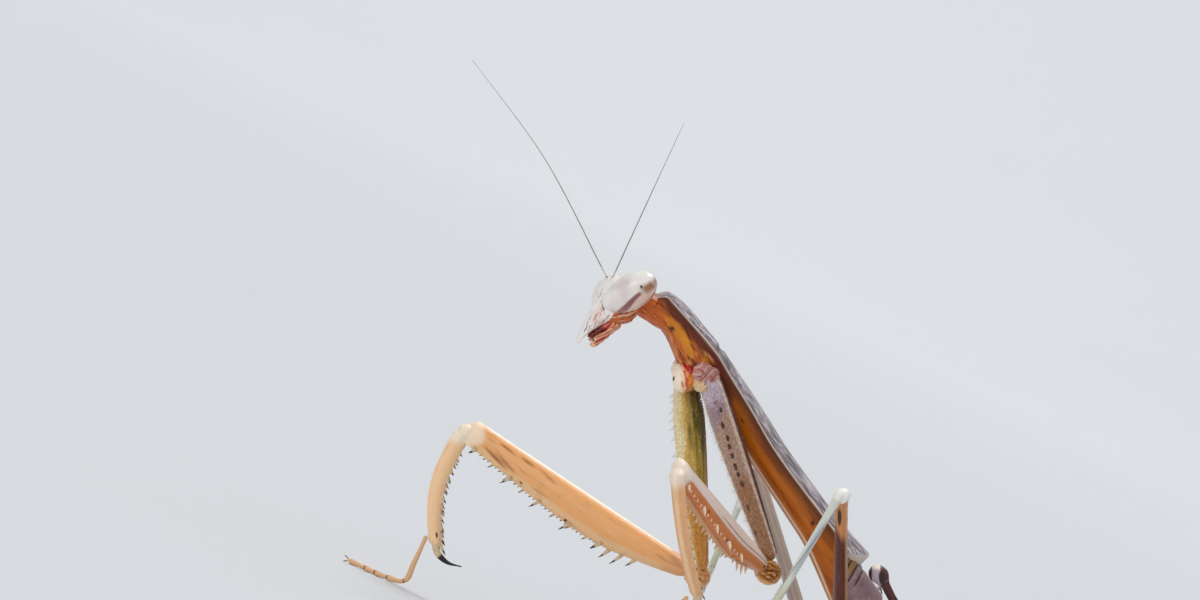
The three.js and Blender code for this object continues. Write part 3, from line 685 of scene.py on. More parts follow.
def head_skin(colours):
    piece = tube("head_shell", 208, 230)
    along, turn, out = tube_ways(piece)
    t = ring_spread(along, 0.04, 0.05)
    z = -FACE_LENGTH + t * (HEAD_TOP + FACE_LENGTH)
    front, back = HEAD_FRONT(z), HEAD_BACK(z)
    round_off = ring_round(t, 0.02, 0.05) * out
    x = HEAD_HALF_WIDTH(z) * powered(np.cos(turn), 0.85) * round_off
    y = 0.5 * (front + back) + 0.5 * (back - front) * powered(np.sin(turn), 0.85) * round_off
    facing = smooth(-np.sin(turn), 0.1, 0.6) * out
    brow, base, lip, edges = face_plates(x, z)
    lift = 0.06 * brow + 0.05 * base + 0.08 * lip - 0.05 * edges
    dots = np.zeros(len(x))
    for at_x, at_z in SOCKETS:
        away = np.hypot(x - at_x, z - at_z)
        lift += 0.1 * hump(away, 0.3, 0.14) - 0.1 * fade(away, 0.05, 0.22)
        dots = np.maximum(dots, fade(away, 0.13, 0.2))
    link = hump(z, 0.03, 0.05) * (np.abs(x) < 0.42)
    ocelli = np.zeros(len(x))
    for at_x, at_z in OCELLI:
        away = np.hypot(x - at_x, z - at_z)
        lift += 0.07 * fade(away, 0.02, 0.13)
        ocelli = np.maximum(ocelli, fade(away, 0.05, 0.11))
    jaw = hump(np.abs(x) - (1.0 + 0.12 * (z + 3.6)), 0, 0.36) * hump(z, -3.7, 1.3)
    lift += 0.12 * jaw
    rib = np.sin(7.0 * np.abs(x) + 1.5 * z) * smooth(np.abs(x), 0.7, 1.0) * hump(z, -2.9, 1.1)
    lift += 0.02 * rib
    y -= lift * facing
    # folds that run under the eye towards the neck
    below = smooth(y, 0.95, 1.4) * fade(z, 0.2, 1.2)
    either = np.stack([np.abs(x), y, z], 1)
    pale = strokes(either,
        (0.13, [(1.35, 1.2, -3.0), (1.54, 1.85, -2.49), (1.5, 2.56, -1.82), (1.5, 3.1, -1.1)]),
        (0.09, [(1.1, 1.9, -2.95), (1.15, 2.6, -2.3), (1.1, 3.1, -1.6)]))
    crease = strokes(either,
        (0.09, [(1.45, 1.3, -2.8), (1.7, 1.9, -2.2), (1.7, 2.6, -1.5), (1.7, 3.0, -0.9)]),
        (0.08, [(1.25, 1.75, -2.95), (1.35, 2.4, -2.25), (1.25, 3.0, -1.6)]),
        (0.07, [(0.8, 2.1, -3.1), (0.9, 2.8, -2.4), (0.85, 3.1, -1.8)]),
        (0.1, [(1.5, 1.0, -2.75), (1.3, 0.9, -3.2), (0.98, 0.85, -3.7), (0.78, 0.8, -4.05)]))
    rosy = strokes(either,
        (0.07, [(1.18, 0.2, -2.6), (1.06, 0.12, -3.43), (0.86, 0.13, -4.2), (0.7, 0.13, -4.8)]),
        (0.06, [(1.25, 0.35, -2.62), (1.12, 0.33, -3.48), (0.84, 0.4, -4.3)]),
        (0.05, [(0.75, 0.5, -4.2), (0.6, 0.25, -4.8), (0.45, 0.08, -5.3)]),
        (0.06, [(1.3, 0.6, -2.7), (1.15, 0.55, -3.3), (0.95, 0.55, -3.8)]))
    thin = strokes(either, (0.09, [(1.3, 0.05, -1.03), (1.22, 0.06, -1.6), (1.12, 0.08, -2.2)]),
        (0.08, [(0.5, -0.23, -2.35), (0.97, -0.02, -2.2), (1.15, 0.15, -2.5), (1.27, 0.43, -2.82)]),
        (0.075, [(0.46, -0.26, -0.8), (0.5, -0.23, -1.7), (0.5, -0.25, -2.4)]),
        (0.075, [(0.57, -0.02, -5.1), (0.6, -0.14, -4.07), (0.53, -0.2, -2.9)]))
    side = np.sign(x) * smooth(np.abs(np.cos(turn)), 0.1, 0.5)
    ripple = np.sin(7 * y - 9 * z + 2 * np.sin(3 * x)) * np.sin(5 * y + 4 * z) * smooth(-z, 1.2, 2.4)
    x += (0.06 * pale - 0.08 * crease + 0.03 * ripple * below) * side
    y += 0.09 * ripple * below * smooth(np.sin(turn), 0.2, 0.7)
    y -= 0.04 * (rosy - thin) * smooth(-np.sin(turn), 0.1, 0.6)
    rim = hump(y - back, -0.1, 0.22) * smooth(-z, 3.2, 3.6) * fade(-z, 5.3, 5.7)
    local = np.stack([x, y, z], 1)
    shaped(piece, local, SKULL)
    mark(piece, under=below, stripe=pale, crease=crease, rosy=rosy,
        line=np.clip(thin + 0.18 * edges * facing + 0.8 * link * facing, 0, 1),
        pink=0.55 * hump(np.abs(x), 1.0, 0.35) * hump(z, -3.3, 1.5) * (1 - below) * (y < 0.9), rim=rim,
        dark=np.clip(dots, 0, 1) * facing, glassy=ocelli * facing)
    finish = cuticle("head_shell", colours.face,
        dict(pink=(236, 190, 176, 0.0), under=(*colours.cheek, 0.35), stripe=(240, 206, 178, 0.0),
        crease=(116, 44, 20, 0.0), rosy=(176, 104, 92, 0.0), line=(104, 92, 96, 0.0),
        rim=(244, 226, 206, 0.0), glassy=(190, 150, 110, 0.0), dark=(24, 16, 14, 0.0)), rough=0.34,
        streaks=0.06, streak_scale=(0.8, 0.8, 0.8), pits=0.25, gloss=0.35, glow=0.12)
    return placed(piece, finish, "head", "head")


def eye_axes(side):
    along = unit((side * EYE_LEAN[0], EYE_LEAN[1], EYE_LEAN[2]))
    back = unit(np.array([0.0, 1.0, 0.0]) - along * along[1])
    return np.stack([np.cross(back, along), back, along])


def eye_finish(colours):
    made = Finish("eye")
    grain = made.mark("grain", vector=True)
    cells = made.cells(grain, 17.0)
    haze = made.noise(grain, 0.55, 2.0)
    tone = made.mixed(made.between(haze, 0.4, 0.7), colours.eye, (224, 210, 208))
    tone = made.painted(tone, lower=(238, 204, 190))
    tone = made.mixed(made.mark("maroon"), tone, made.mixed(haze, (166, 98, 88), (130, 70, 68)))
    tone = made.mixed(made.mark("tan"), tone, made.mixed(haze, (184, 134, 98), (150, 100, 66)))
    tone = made.painted(tone, border=(126, 68, 44), rim=(150, 124, 114), pupil=(14, 10, 12))
    return made.end(tone, made.between(haze, 0.3, 0.7, 0.16, 0.24), made.bumped(cells, 0.012, 0.35),
        (0.5, 0.08), glow=(0.15, (1.0, 0.7, 0.6), 0.5))


def eye_globe(name, side, finish):
    piece = ball(name + "_eye_globe", 96, 72)
    egg = points_of(piece)
    swell = 1 + EYE_SWELL * egg[:, 2]
    local = egg * np.stack([swell, swell, np.ones(len(egg))], 1) * EYE_HALF
    local[:, 1] = np.where(local[:, 1] < 0, EYE_FRONT * local[:, 1], local[:, 1])
    at = np.array([side * EYE_AT[0], EYE_AT[1], EYE_AT[2]])
    set_points(piece, from_local(SKULL, local @ eye_axes(side) + at))
    grain = local * [side, 1, 1]
    mark(piece, grain=grain)
    out, back, up = grain.T
    shown = smooth(out, -0.3, 0.1)
    upper = profile((-1.7, 0.5), (-1.18, 0.3), (0.5, -0.16), (1.53, -0.22), (2.6, 0.1))(up)
    lower = profile((-1.9, 0.35), (-1.17, 0.56), (-0.08, 0.87), (0.8, 1.0), (1.5, 1.02), (2.3, 0.95))(up)
    long_way = smooth(up, -1.75, -1.2) * fade(up, 1.35, 1.75)
    wide = 0.26 + 0.26 * smooth(-up, -1.5, 0.6)
    mark(piece, maroon=smooth(back, upper - 0.05, upper + 0.06)
        * fade(back, upper + wide, upper + wide + 0.18) * long_way * shown,
        lower=smooth(back, upper + wide, upper + wide + 0.18) * shown * smooth(up, -1.8, -1.4),
        border=hump(back, lower, 0.09) * shown * smooth(up, -1.6, -1.0),
        tan=smooth(back, upper - 0.36, upper - 0.04) * smooth(up, 1.45, 2.0) * fade(up, 2.35, 2.66)
        * fade(back, upper + 0.25, upper + 0.8) * shown,
        rim=smooth(up, 2.4, 2.6) * smooth(back, -0.1, 0.25) * shown)
    at_pupil = np.linalg.norm(grain - [1.02, -0.41, 1.83], axis=1)
    mark(piece, pupil=fade(at_pupil, 0.1, 0.14))
    return placed(piece, finish, "eye", name + "_eye")


def mouth_parts():
    """The lower lip, two jaws and four palps, hanging a little open behind the upper lip."""
    parts = []

    def kept(piece, edge, dark, crimson):
        mark(piece, edge=edge, dark=dark, crimson=crimson)
        parts.append(piece)

    def folding(t, turn):
        return np.sin(24 * t + 3 * np.cos(turn)) * np.sin(3 * turn + 9 * t)

    def lip_relief(t, turn):
        return 0.05 * folding(t, turn) - 0.12 * hump(np.cos(turn), 0, 0.16) * smooth(t, 0.35, 0.6)

    def jaw_relief(t, turn):
        return 0.05 * np.sin(38 * t) * smooth(t, 0.5, 0.8)

    lower = Limb((0, 2.1, -2.7), (0, 1.2, -5.55), (0, 4, -5), lambda t: 1.9 - 0.95 * t,
        lambda t: 1.15 - 0.7 * t, lip_relief, (0.1, 0.2))
    piece, t, turn = lower.skin("mouth_part", 56, 64)
    folds = folding(t, turn)
    dark = smooth(-np.sin(turn), 0.2, 0.8) * fade(t, 0.75, 0.9) + 0.6 * smooth(-folds, 0.4, 0.8)
    kept(piece, np.clip(smooth(t, 0.8, 0.95) + smooth(folds, 0.3, 0.7), 0, 1), np.clip(dark, 0, 1), 0.0)
    for side in (1, -1):
        jaw = Limb((side * 0.7, 1.6, -3.1), (side * 0.26, 0.62, -4.95), (0, 0.2, -4.4),
            lambda t: 0.7 - 0.42 * t, lambda t: 0.8 - 0.5 * t, jaw_relief, (0.15, 0.1))
        piece, t, turn = jaw.skin("mouth_part", 24, 32)
        kept(piece, 0.5 * smooth(np.sin(4 * turn + 3 * t), 0.6, 0.9), 0.75 * smooth(t, 0.2, 0.5), 0.8)
        for thick, points in (
            (0.34, [(0.78, 1.75, -3.0), (1.0, 1.65, -3.75), (0.92, 1.3, -4.5), (0.66, 0.95, -5.05)]),
            (0.3, [(0.5, 1.9, -3.3), (0.72, 1.72, -4.1), (0.66, 1.42, -4.9), (0.4, 1.15, -5.4)]),
            (0.26, [(0.28, 1.5, -3.4), (0.42, 1.25, -4.2), (0.36, 1.0, -5.0)]),
        ):
            def palp(t):
                return thick * (1 + 0.22 * np.abs(np.sin(4 * math.pi * t)) - 0.25 * t)

            piece, t, turn = feeler("mouth_part", [(side * x, y, z) for x, y, z in points], palp, 16, 56)
            lines = np.sin(4 * turn + 2.5 * t + 9 * thick)
            kept(piece, np.clip(smooth(lines, 0.45, 0.8) + 0.7 * smooth(t, 0.9, 0.98), 0, 1),
                0.7 * smooth(-lines, 0.6, 0.9), 0.9 * hump(thick, 0.3, 0.05) + 0.3)
    for piece in parts:
        set_points(piece, from_local(SKULL, stance_points(piece)))
    piece = joined("mouth", parts)
    finish = cuticle("mouth", (222, 136, 92),
        dict(crimson=(190, 60, 52, 0.3), edge=(244, 196, 158, 0.2), dark=(112, 20, 12, 0.3)), rough=0.3,
        streaks=0.2, streak_scale=(3, 3, 0.9), pits=0.35, gloss=0.6, glow=0.12)
    return placed(piece, finish, "mouth", "mouthparts")


def antenna(name, side, thickness, finish):
    root = from_local(SKULL, [side * 0.5, 0.06, -0.05])
    tip = np.array(ANTENNA_TIPS[name])
    away = unit(tip - root)
    middle = root + 0.5 * (tip - root) + [0, 0, 0.9]
    full = thickness / MM  # at the whip's root

    def thick(t):
        scape = 1.9 * fade(t, 0.018, 0.026) + 1.45 * smooth(t, 0.03, 0.034) * fade(t, 0.048, 0.054)
        whip = 1 - 0.62 * smooth(t, 0.05, 1.0)
        beads = 1 + 0.1 * np.abs(np.sin(70 * math.pi * t))
        return full * np.maximum(scape, whip * beads)

    piece, t, turn = feeler(name + "_antenna_whip", [root, root + 1.2 * away + [0, 0, 0.05], middle, tip],
        thick, 10, 420, ends=(0.004, 0.002))
    mark(piece, segment=np.mod(t * 70, 1.0), root=fade(t, 0.03, 0.12), socket=fade(t, 0.01, 0.016))
    return placed(piece, finish, "antenna", name + "_antenna")


def antenna_finish():
    made = Finish("antenna")
    grain = made.mark("grain", vector=True)
    joints = made.between(made.mark("segment"), 0.78, 0.95)
    tone = made.mixed(made.noise(grain, 1.2), (158, 144, 130), (120, 106, 96))
    tone = made.painted(tone, root=(198, 186, 172))
    tone = made.mixed(made.times(joints, 0.6), tone, (84, 68, 58))
    tone = made.painted(tone, socket=(26, 22, 22))
    return made.end(tone, made.between(joints, 0, 1, 0.5, 0.65), made.bumped(joints, 0.02, 0.6))


# Neck and chest shield


def neck_skin():
    """The soft neck between the head and the chest, in fine slanting folds."""

    def folding(t, turn):
        slant = 19 * turn + 9 * t + 2.6 * np.sin(7 * t + 3 * turn)
        uneven = 0.5 + 0.5 * np.sin(5.3 * turn + 13 * t) * np.cos(3.1 * turn - 17 * t)
        return np.sin(slant) * uneven * smooth(t, 0.06, 0.28)

    shape = Limb((-0.3, 1.3, 29.2), (0.05, 5.9, 28.6), (0, 3, 20), lambda t: 2.7 + 0.4 * t,
        lambda t: 2.2 + 0.1 * t, lambda t, turn: 0.04 * folding(t, turn), (0.1, 0.1))
    piece, t, turn = shape.skin("neck_fold", 96, 150)
    folds = folding(t, turn)
    # The pale mark is painted highlight along the crests of the folds.
    mark(piece, fold=smooth(-folds, 0.25, 0.8), pale=smooth(folds, 0.6, 0.95),
        upper=smooth(-np.sin(turn), 0.35, 0.75))
    # Its pale layer paints highlights on the fold crests.
    finish = cuticle("neck_skin", (204, 98, 18),
        dict(upper=(180, 118, 88, 0.4), fold=(160, 52, 16, 0.5), pale=(222, 142, 84, 0.6)), rough=0.36,
        streaks=0.3, streak_scale=(2, 2, 2), pits=0.6, gloss=0.25, glow=0.04)
    return placed(piece, finish, "neck", "neck")


SHIELD_TOP = profile((0, -0.1), (1.5, 0.47), (3.5, 0.71), (8, 0.6), (12, 0.42), (15, 0.13), (18, -0.11),
    (24, -0.24), (28.3, 0))
SHIELD_RIM = profile((0, -0.62), (5.5, -0.58), (9, -0.82), (12, -1.03), (15, -1.42), (18, -1.6),
    (28.3, -1.75))
SHIELD_BELLY = profile((0, -2.3), (2, -2.12), (3, -2.04), (3.9, -2.2), (4.7, -2.43), (5.5, -2.64),
    (7.2, -2.7), (9, -2.5), (12, -2.45), (15, -2.92), (21, -3.43), (24, -3.75), (29.4, -5.2))
SHIELD_HALF_WIDTH = profile((0, 1.55), (3, 2.0), (5.5, 2.5), (6.8, 2.65), (9, 2.3), (12, 1.95), (18, 1.85),
    (26, 1.95), (28.3, 1.5))


def chest_shield(sizes, colours):
    """The long first plate of the chest with its raised rim, groove, keel and in-turned flanks."""
    piece = tube("chest_shield", 144, 280)
    along, turn, out = tube_ways(piece)
    t = ring_spread(along, 0.012, 0.012)
    rise, across = np.sin(turn), np.cos(turn)
    rear = np.where(rise > 0, 26.3 + 2.0 * np.abs(rise) ** 0.7,
        26.3 + 0.7 * smooth(-rise, 0, 0.5) + 2.4 * smooth(-rise, 0.5, 1.0))
    y = 0.3 + t * (SHIELD_LENGTH - 0.3)
    y += (rear - SHIELD_LENGTH) * smooth(y, 20, SHIELD_LENGTH)
    top, rim, belly = SHIELD_TOP(y), SHIELD_RIM(y), SHIELD_BELLY(y)
    height = np.where(rise > 0, rim + (top - rim) * np.abs(rise) ** 1.1, rim + (rim - belly) * rise)
    tuck = 1 - 0.12 * smooth(-rise, 0, 0.5)
    round_off = ring_round(t, 0.012, 0.008) * out
    flange = sizes.rim_thickness / MM
    edge = hump(rise, 0.0, 0.11)
    teeth = 0.3 * np.sin(17 * y) ** 2 * fade(y, 6.5, 9.5)
    x = ((SHIELD_HALF_WIDTH(y) * across * tuck + np.sign(across) * edge * flange * (0.55 + teeth))
        * round_off)
    keel = hump(across, 0, 0.1) * smooth(rise, 0.2, 0.6)
    groove = hump(y + 0.9 * np.abs(across) ** 2, 6.9, 0.45) * smooth(rise, 0.05, 0.3)
    dent = hump(y, 4.4, 1.3) * hump(np.abs(across), 0.42, 0.3) * smooth(rise, 0.2, 0.5)
    gutter = hump(rise, 0.17, 0.12)
    below = np.abs(turn + 0.5 * math.pi)
    lower_edge = hump(below, 0.2, 0.13)
    fore = fade(y, 5.2, 7.2)
    lift = (0.1 * keel - 0.2 * groove - 0.08 * dent - 0.07 * gutter) * (rise > 0)
    z = 0.5 * (top + belly) + (height - 0.5 * (top + belly)) * round_off + lift * out
    either = np.stack([np.abs(x), y, z], 1)
    golden = strokes(either,
        (0.62, [(1.0, 1.5, -1.7), (1.25, 2.4, -1.6), (1.42, 3.5, -1.6), (1.55, 4.6, -1.75),
        (1.48, 5.6, -2.1)]))
    lips = strokes(either,
        (0.09, [(0.1, 5.14, -2.6), (0.62, 5.69, -2.62), (1.1, 5.85, -2.45), (1.48, 5.6, -2.1),
        (1.89, 5.5, -1.65), (2.13, 5.7, -1.34)]),
        (0.08, [(2.13, 5.66, -1.34), (2.36, 6.11, -1.15), (2.5, 6.69, -1.2), (2.4, 7.28, -1.3)]),
        (0.09, [(0.3, 1.6, -2.2), (0.7, 2.6, -2.0), (0.8, 3.7, -2.1)]),
        (0.08, [(1.25, 3.3, -1.75), (1.3, 4.3, -1.95), (1.25, 5.2, -2.25)]))
    creases = strokes(either,
        (0.1, [(0.42, 2.7, -2.05), (1.2, 2.88, -1.63), (1.77, 3.13, -1.06), (2.09, 3.63, -0.74)]),
        (0.1, [(1.77, 3.13, -1.06), (1.78, 4.18, -1.33), (1.8, 5.13, -1.66)]),
        (0.09, [(0.45, 3.69, -2.13), (0.66, 4.56, -2.3), (0.82, 5.43, -2.49)]),
        (0.08, [(1.3, 0.6, -1.3), (1.5, 1.8, -1.2), (1.75, 2.9, -1.1)]),
        (0.08, [(0.9, 1.0, -1.9), (1.0, 2.0, -1.85), (0.95, 2.8, -1.85)]),
        (0.1, [(2.0, 5.9, -1.6), (2.2, 6.5, -1.5), (2.1, 6.95, -1.75), (1.8, 6.7, -2.1)]),
        (0.09, [(0.1, 5.3, -2.62), (0.62, 5.85, -2.62), (1.1, 6.02, -2.45), (1.48, 5.8, -2.1),
        (1.85, 5.72, -1.7)]),
        (0.08, [(0.4, 4.7, -2.5), (0.8, 5.4, -2.55), (1.15, 5.62, -2.4), (1.4, 5.35, -2.1),
        (1.8, 5.2, -1.6)]))
    # Painted shade: darker brown on the flank just under the rim, and the dark hollow behind the near fore
    # coxa.
    dusk = strokes(either,
        (0.62, [(1.5, 0.9, -0.9), (1.75, 2.2, -0.85), (2.1, 4.2, -0.95), (2.3, 5.6, -1.05)]),
        (0.75, [(2.3, 6.9, -1.3), (2.25, 7.65, -1.45), (2.0, 8.8, -1.6), (1.8, 10.4, -1.8)]))
    # Glints are painted highlights: white specks along the granular lower edge, laid into the fold mark
    # with the pale lips of the folds.
    glints = strokes(either,
        (0.36, [(0.3, 2.7, -2.1), (0.5, 3.75, -2.15), (0.35, 4.4, -2.4), (0.2, 5.0, -2.5)]))
    glints *= np.sin(23 * x + 9 * y) * np.sin(19 * y) > 0.25
    cavity = np.linalg.norm(either - [2.1, 6.35, -1.58], axis=1)
    swell = ((0.07 * lips + 0.05 * golden - 0.1 * creases + 0.04 * glints + 0.04 * lower_edge
        - 0.12 * fade(cavity, 0.1, 0.4)) * out)
    x += swell * across
    z += swell * rise
    local = np.stack([x, y, z], 1)
    shaped(piece, local, CHEST)
    spots = np.maximum.reduce([fade(np.hypot(y - at_y, (below - at_below) * 1.9), 0.75 * size, size)
        for at_y, at_below, size in ((21.85, 0.5, 0.15), (22.44, 1.05, 0.2), (12.2, 0.9, 0.1),
        (17.4, 0.7, 0.1))])
    throat = hump(y, 6.9, 1.1) * fade(below, 0.3, 0.75)
    # The fold mark holds the pale fold lips and the painted highlights of the glints.
    mark(piece, plate=smooth(rise, 0.0, 0.05) * out,
        rim=hump(rise, 0.01, 0.075) + smooth(y, rear - 0.28, rear - 0.16) * (rise > -0.05),
        groove=np.clip(groove + 0.5 * gutter * smooth(y, 2, 4), 0, 1) * (rise > 0), keel=keel,
        shadow=smooth(rise, -0.62, -0.05) * (rise < 0.0), edge=lower_edge * smooth(y, 8.5, 10), front=fore,
        golden=golden, dusk=dusk * (rise < 0.02), fold=np.clip(lips + 0.8 * glints, 0, 1), crease=creases,
        wine=strokes(either, (0.22, [(0.1, 5.75, -2.65), (0.7, 6.1, -2.6), (1.2, 6.35, -2.4),
        (1.65, 6.1, -2.1), (1.95, 5.9, -1.75)]), (0.3, [(2.35, 5.3, -1.0), (2.55, 6.3, -0.85),
        (2.55, 7.4, -1.0), (2.3, 8.6, -1.2)])), gold=fade(cavity, 0.2, 0.36), throat=throat,
        spot=spots * (rise < 0))
    return placed(piece, chest_finish(colours), "shield", "pronotum_front", "pronotum_rear")


def chest_finish(colours):
    made = Finish("chest_shield")
    grain = made.mark("grain", vector=True)
    streak = made.noise(made.stretched(grain, (3.2, 0.32, 3.2)), 1.0, 4.0, 0.62)
    broad = made.noise(made.stretched(grain, (1.1, 0.16, 1.1)), 1.0, 2.0)
    fine = made.noise(grain, 10.0, 3.0, 0.6)
    grit = made.cells(grain, 6.5)
    plate_mark = made.mark("plate")
    # The amber flank is partly painted warm light bounced up from below.
    flank = made.mixed(made.between(broad, 0.35, 0.65), colours.amber, (192, 104, 14))
    flank = made.mixed(made.between(streak, 0.5, 0.75, 0.0, 0.6), flank, (116, 50, 8))
    flank = made.painted(flank, shadow=(74, 32, 8, 0.85))
    front = made.mixed(made.between(streak, 0.42, 0.66), (204, 104, 28), (160, 70, 14))
    front = made.painted(front, shadow=(98, 48, 20))
    front = made.mixed(made.mark("golden"), front, made.mixed(streak, (232, 158, 34), (196, 104, 10)))
    flank = made.mixed(made.mark("front"), flank, front)
    # The dark brown layer laid first here is painted shade under the rim and behind the near fore coxa.
    flank = made.painted(flank, dusk=(96, 34, 8, 0.8), crease=(78, 20, 6), wine=(92, 14, 8),
        fold=(240, 176, 112, 0.85), gold=(206, 132, 24), throat=(176, 34, 18), edge=(236, 208, 168),
        spot=(30, 14, 10))
    lines = made.noise(made.stretched(grain, (4.6, 0.3, 4.6)), 1.6, 4.0, 0.66)
    stains = made.noise(made.stretched(grain, (2.5, 0.5, 2.5)), 1.7, 3.0)
    # The lavender grey back is partly painted sky reflection, and the near-white streaks mixed in below are
    # painted highlights; the dark thin lines and stains are its own.
    back = made.mixed(made.between(broad, 0.4, 0.62), colours.shield, (146, 132, 136))
    back = made.mixed(made.between(streak, 0.46, 0.32, 0.0, 0.85), back, (238, 232, 238))
    back = made.mixed(made.between(lines, 0.5, 0.58, 0.0, 0.9), back, (96, 88, 100))
    back = made.mixed(made.between(lines, 0.44, 0.38, 0.0, 0.8), back, (246, 242, 248))
    back = made.mixed(made.between(stains, 0.56, 0.7, 0.0, 0.5), back, (168, 134, 104))
    back = made.painted(back, groove=(92, 70, 64), keel=(208, 196, 192, 0.6))
    tone = made.painted(made.mixed(plate_mark, flank, back), rim=(240, 230, 218))
    dots = made.times(made.between(grit, 0.16, 0.1), made.between(made.noise(grain, 1.3, 1.0), 0.6, 0.66))
    tone = made.mixed(made.times(dots, 0.7), tone, (60, 34, 20))
    rough = made.sum_of("ADD", made.between(fine, 0.3, 0.7, 0.24, 0.36), made.times(plate_mark, 0.14))
    relief = made.bumped(fine, 0.03, 0.4, made.bumped(streak, 0.05, 0.4, made.bumped(grit, 0.03, 0.35)))
    return made.end(tone, rough, relief, (0.14, 0.18), 0.25, (0.12, (1.0, 0.45, 0.2), 0.6))


# Thorax, abdomen and wings


BACK_LINE = profile((28.6, 15.9), (30, 15.4), (32, 14.2), (36, 13.9), (41.2, 13.3), (60, 12.4), (81, 9.6))
BELLY_LINE = profile((28.6, 12.2), (30, 10.6), (33, 8.8), (41.2, 6.9), (50, 5.9), (60, 5.7), (70, 6.2),
    (81, 8.4))
TRUNK_HALF_WIDTH = profile((28.6, 1.5), (31, 2.5), (34, 3.1), (41.2, 3.2), (46, 3.7), (56, 4.2), (66, 4),
    (74, 3.1), (81, 1.2))


def trunk_tube(name, start, end, sides, rings, lift):
    """A stretch of the trunk. lift(y, turn) raises its surface."""
    piece = tube(name, sides, rings)
    along, turn, out = tube_ways(piece)
    t = ring_spread(along, 0.01, 0.01)
    y = start + t * (end - start)
    round_off = ring_round(t, 0.01, 0.01) * out
    back, belly, half = BACK_LINE(y), BELLY_LINE(y), TRUNK_HALF_WIDTH(y)
    raised = lift(y, turn)
    x = (half + raised) * powered(np.cos(turn), 0.92) * round_off
    z = 0.5 * (back + belly) + (0.5 * (back - belly) + raised) * powered(np.sin(turn), 0.92) * round_off
    return shaped(piece, np.stack([x, y, z], 1)), y, turn


def thorax_skin():
    """The middle and hind parts of the chest: plates with soft folds between them."""

    def seams(y, turn):
        side = np.abs(np.degrees(np.arctan2(np.cos(turn), np.sin(turn))))
        slant = 0.06 * (side - 90)
        cross = [hump(y - slant, at, 0.3) for at in (30.6, 33.0, 34.6, 36.9, 39.2)]
        runs = [hump(side, at, 5.0) for at in (58, 104, 150)]
        return np.clip(np.maximum.reduce(cross + runs), 0, 1)

    def lift(y, turn):
        return -0.22 * seams(y, turn)

    piece, y, turn = trunk_tube("thorax_skin", 28.7, 41.4, 120, 120, lift)
    grooves = seams(y, turn)
    mark(piece, seam=smooth(grooves, 0.25, 0.8),
        edge=4 * smooth(grooves, 0.02, 0.4) * fade(grooves, 0.02, 0.4),
        under=smooth(-np.sin(turn), 0.3, 0.8))
    finish = cuticle("thorax_skin", (146, 122, 128),
        dict(under=(176, 134, 96, 0.5), edge=(206, 186, 172, 0.3), seam=(170, 112, 58, 0.3)), rough=0.42,
        streaks=0.35, streak_scale=(1.5, 0.7, 1.5), pits=0.6, gloss=0.25, speckle=(74, 44, 40, 3.4, 0.8))
    return placed(piece, finish, "thorax", "mesothorax", "metathorax")


def waist_skin():
    """The pleated skin between the chest shield and the hind chest."""

    def pleat(t, turn):
        return np.sin(58 * t + 2.5 * np.sin(2 * turn))

    def relief(t, turn):
        return 0.06 * pleat(t, turn) * fade(t, 0.45, 0.6)

    start = from_local(CHEST, [0.1, 25.3, -2.5])
    shape = Limb(start, (0, 31.0, 13.4), start - np.array([0, 0, 9.0]), lambda t: 2.4 + 1.0 * t,
        lambda t: 2.7 + 0.7 * t, relief, (0.1, 0.1))
    piece, t, turn = shape.skin("waist_skin", 96, 160)
    mark(piece, front=fade(t, 0.3, 0.42), fold=smooth(-pleat(t, turn), 0.5, 0.9) * fade(t, 0.45, 0.6),
        strip=line_along(turn, 0.55, 0.16) * smooth(t, 0.5, 0.6),
        gap=line_along(turn, 0.28, 0.12) * smooth(t, 0.5, 0.6))
    finish = cuticle("waist_skin", (144, 116, 122),
        dict(front=(156, 118, 66, 0.4), fold=(78, 44, 34, 0.3), strip=(206, 190, 200, 0.2),
        gap=(60, 36, 36, 0.2)), rough=0.38, streaks=0.4, streak_scale=(1.5, 1.5, 1.5), pits=0.6)
    return placed(piece, finish, "thorax")


def abdomen_skin():
    """The abdomen as one skin: overlapping back and belly plates and the soft pleat between them."""
    plates = 8
    length = (ABDOMEN_TO - ABDOMEN_FROM) / plates

    def way(y):
        return np.mod((y - ABDOMEN_FROM) / length, 1.0)

    def lift(y, turn):
        at = way(y)
        lip = 0.16 * smooth(at, 0.1, 0.9) * fade(at, 0.93, 1.0)
        pleat = hump(np.sin(turn), -0.16, 0.22)
        return lip * (1 - 0.7 * pleat) - 0.32 * pleat - 0.12

    piece, y, turn = trunk_tube("abdomen_skin", 41.0, ABDOMEN_TO, 120, 320, lift)
    at, rise = way(y), np.sin(turn)
    mark(piece, lip=smooth(at, 0.84, 0.93), gap=np.maximum(fade(at, 0.0, 0.07), smooth(at, 0.97, 1.0)),
        pleat=hump(rise, -0.16, 0.22), belly=smooth(-rise, 0.2, 0.5),
        spot=hump(np.hypot((at - 0.35) * length, (rise + 0.55) * 4), 0, 0.7))
    finish = cuticle("abdomen_skin", (164, 128, 90),
        dict(belly=(188, 156, 112, 0.6), pleat=(206, 178, 132, 0.5), lip=(118, 84, 56, 0.4),
        gap=(214, 180, 136, 0.3), spot=(84, 52, 34, 0.3)), rough=0.45, streaks=0.35,
        streak_scale=(1.8, 0.6, 1.8), pits=0.6, gloss=0.2, speckle=(92, 60, 40, 3.0, 0.7))
    return placed(piece, finish, "abdomen", *["abdomen_%d" % (i + 1) for i in range(ABDOMEN_RINGS)])


def cercus(name, side, finish):
    root, tip = (side * 0.75, 80.6, 9.1), (side * 1.9, 84.75, 9.5)
    middle = (side * 1.5, 82.6, 9.15)

    def thick(t):
        return 0.68 * (1 - 0.62 * smooth(t, 0.2, 1)) * (0.86 + 0.16 * np.abs(np.sin(9 * math.pi * t)))

    piece, t, turn = feeler(name + "_cercus_skin", [root, middle, tip], thick, 18, 120)
    mark(piece, ring=hump(np.mod(9 * t, 1.0), 0.0, 0.16) + hump(np.mod(9 * t, 1.0), 1.0, 0.16))
    return placed(piece, finish, "abdomen", name + "_cercus")


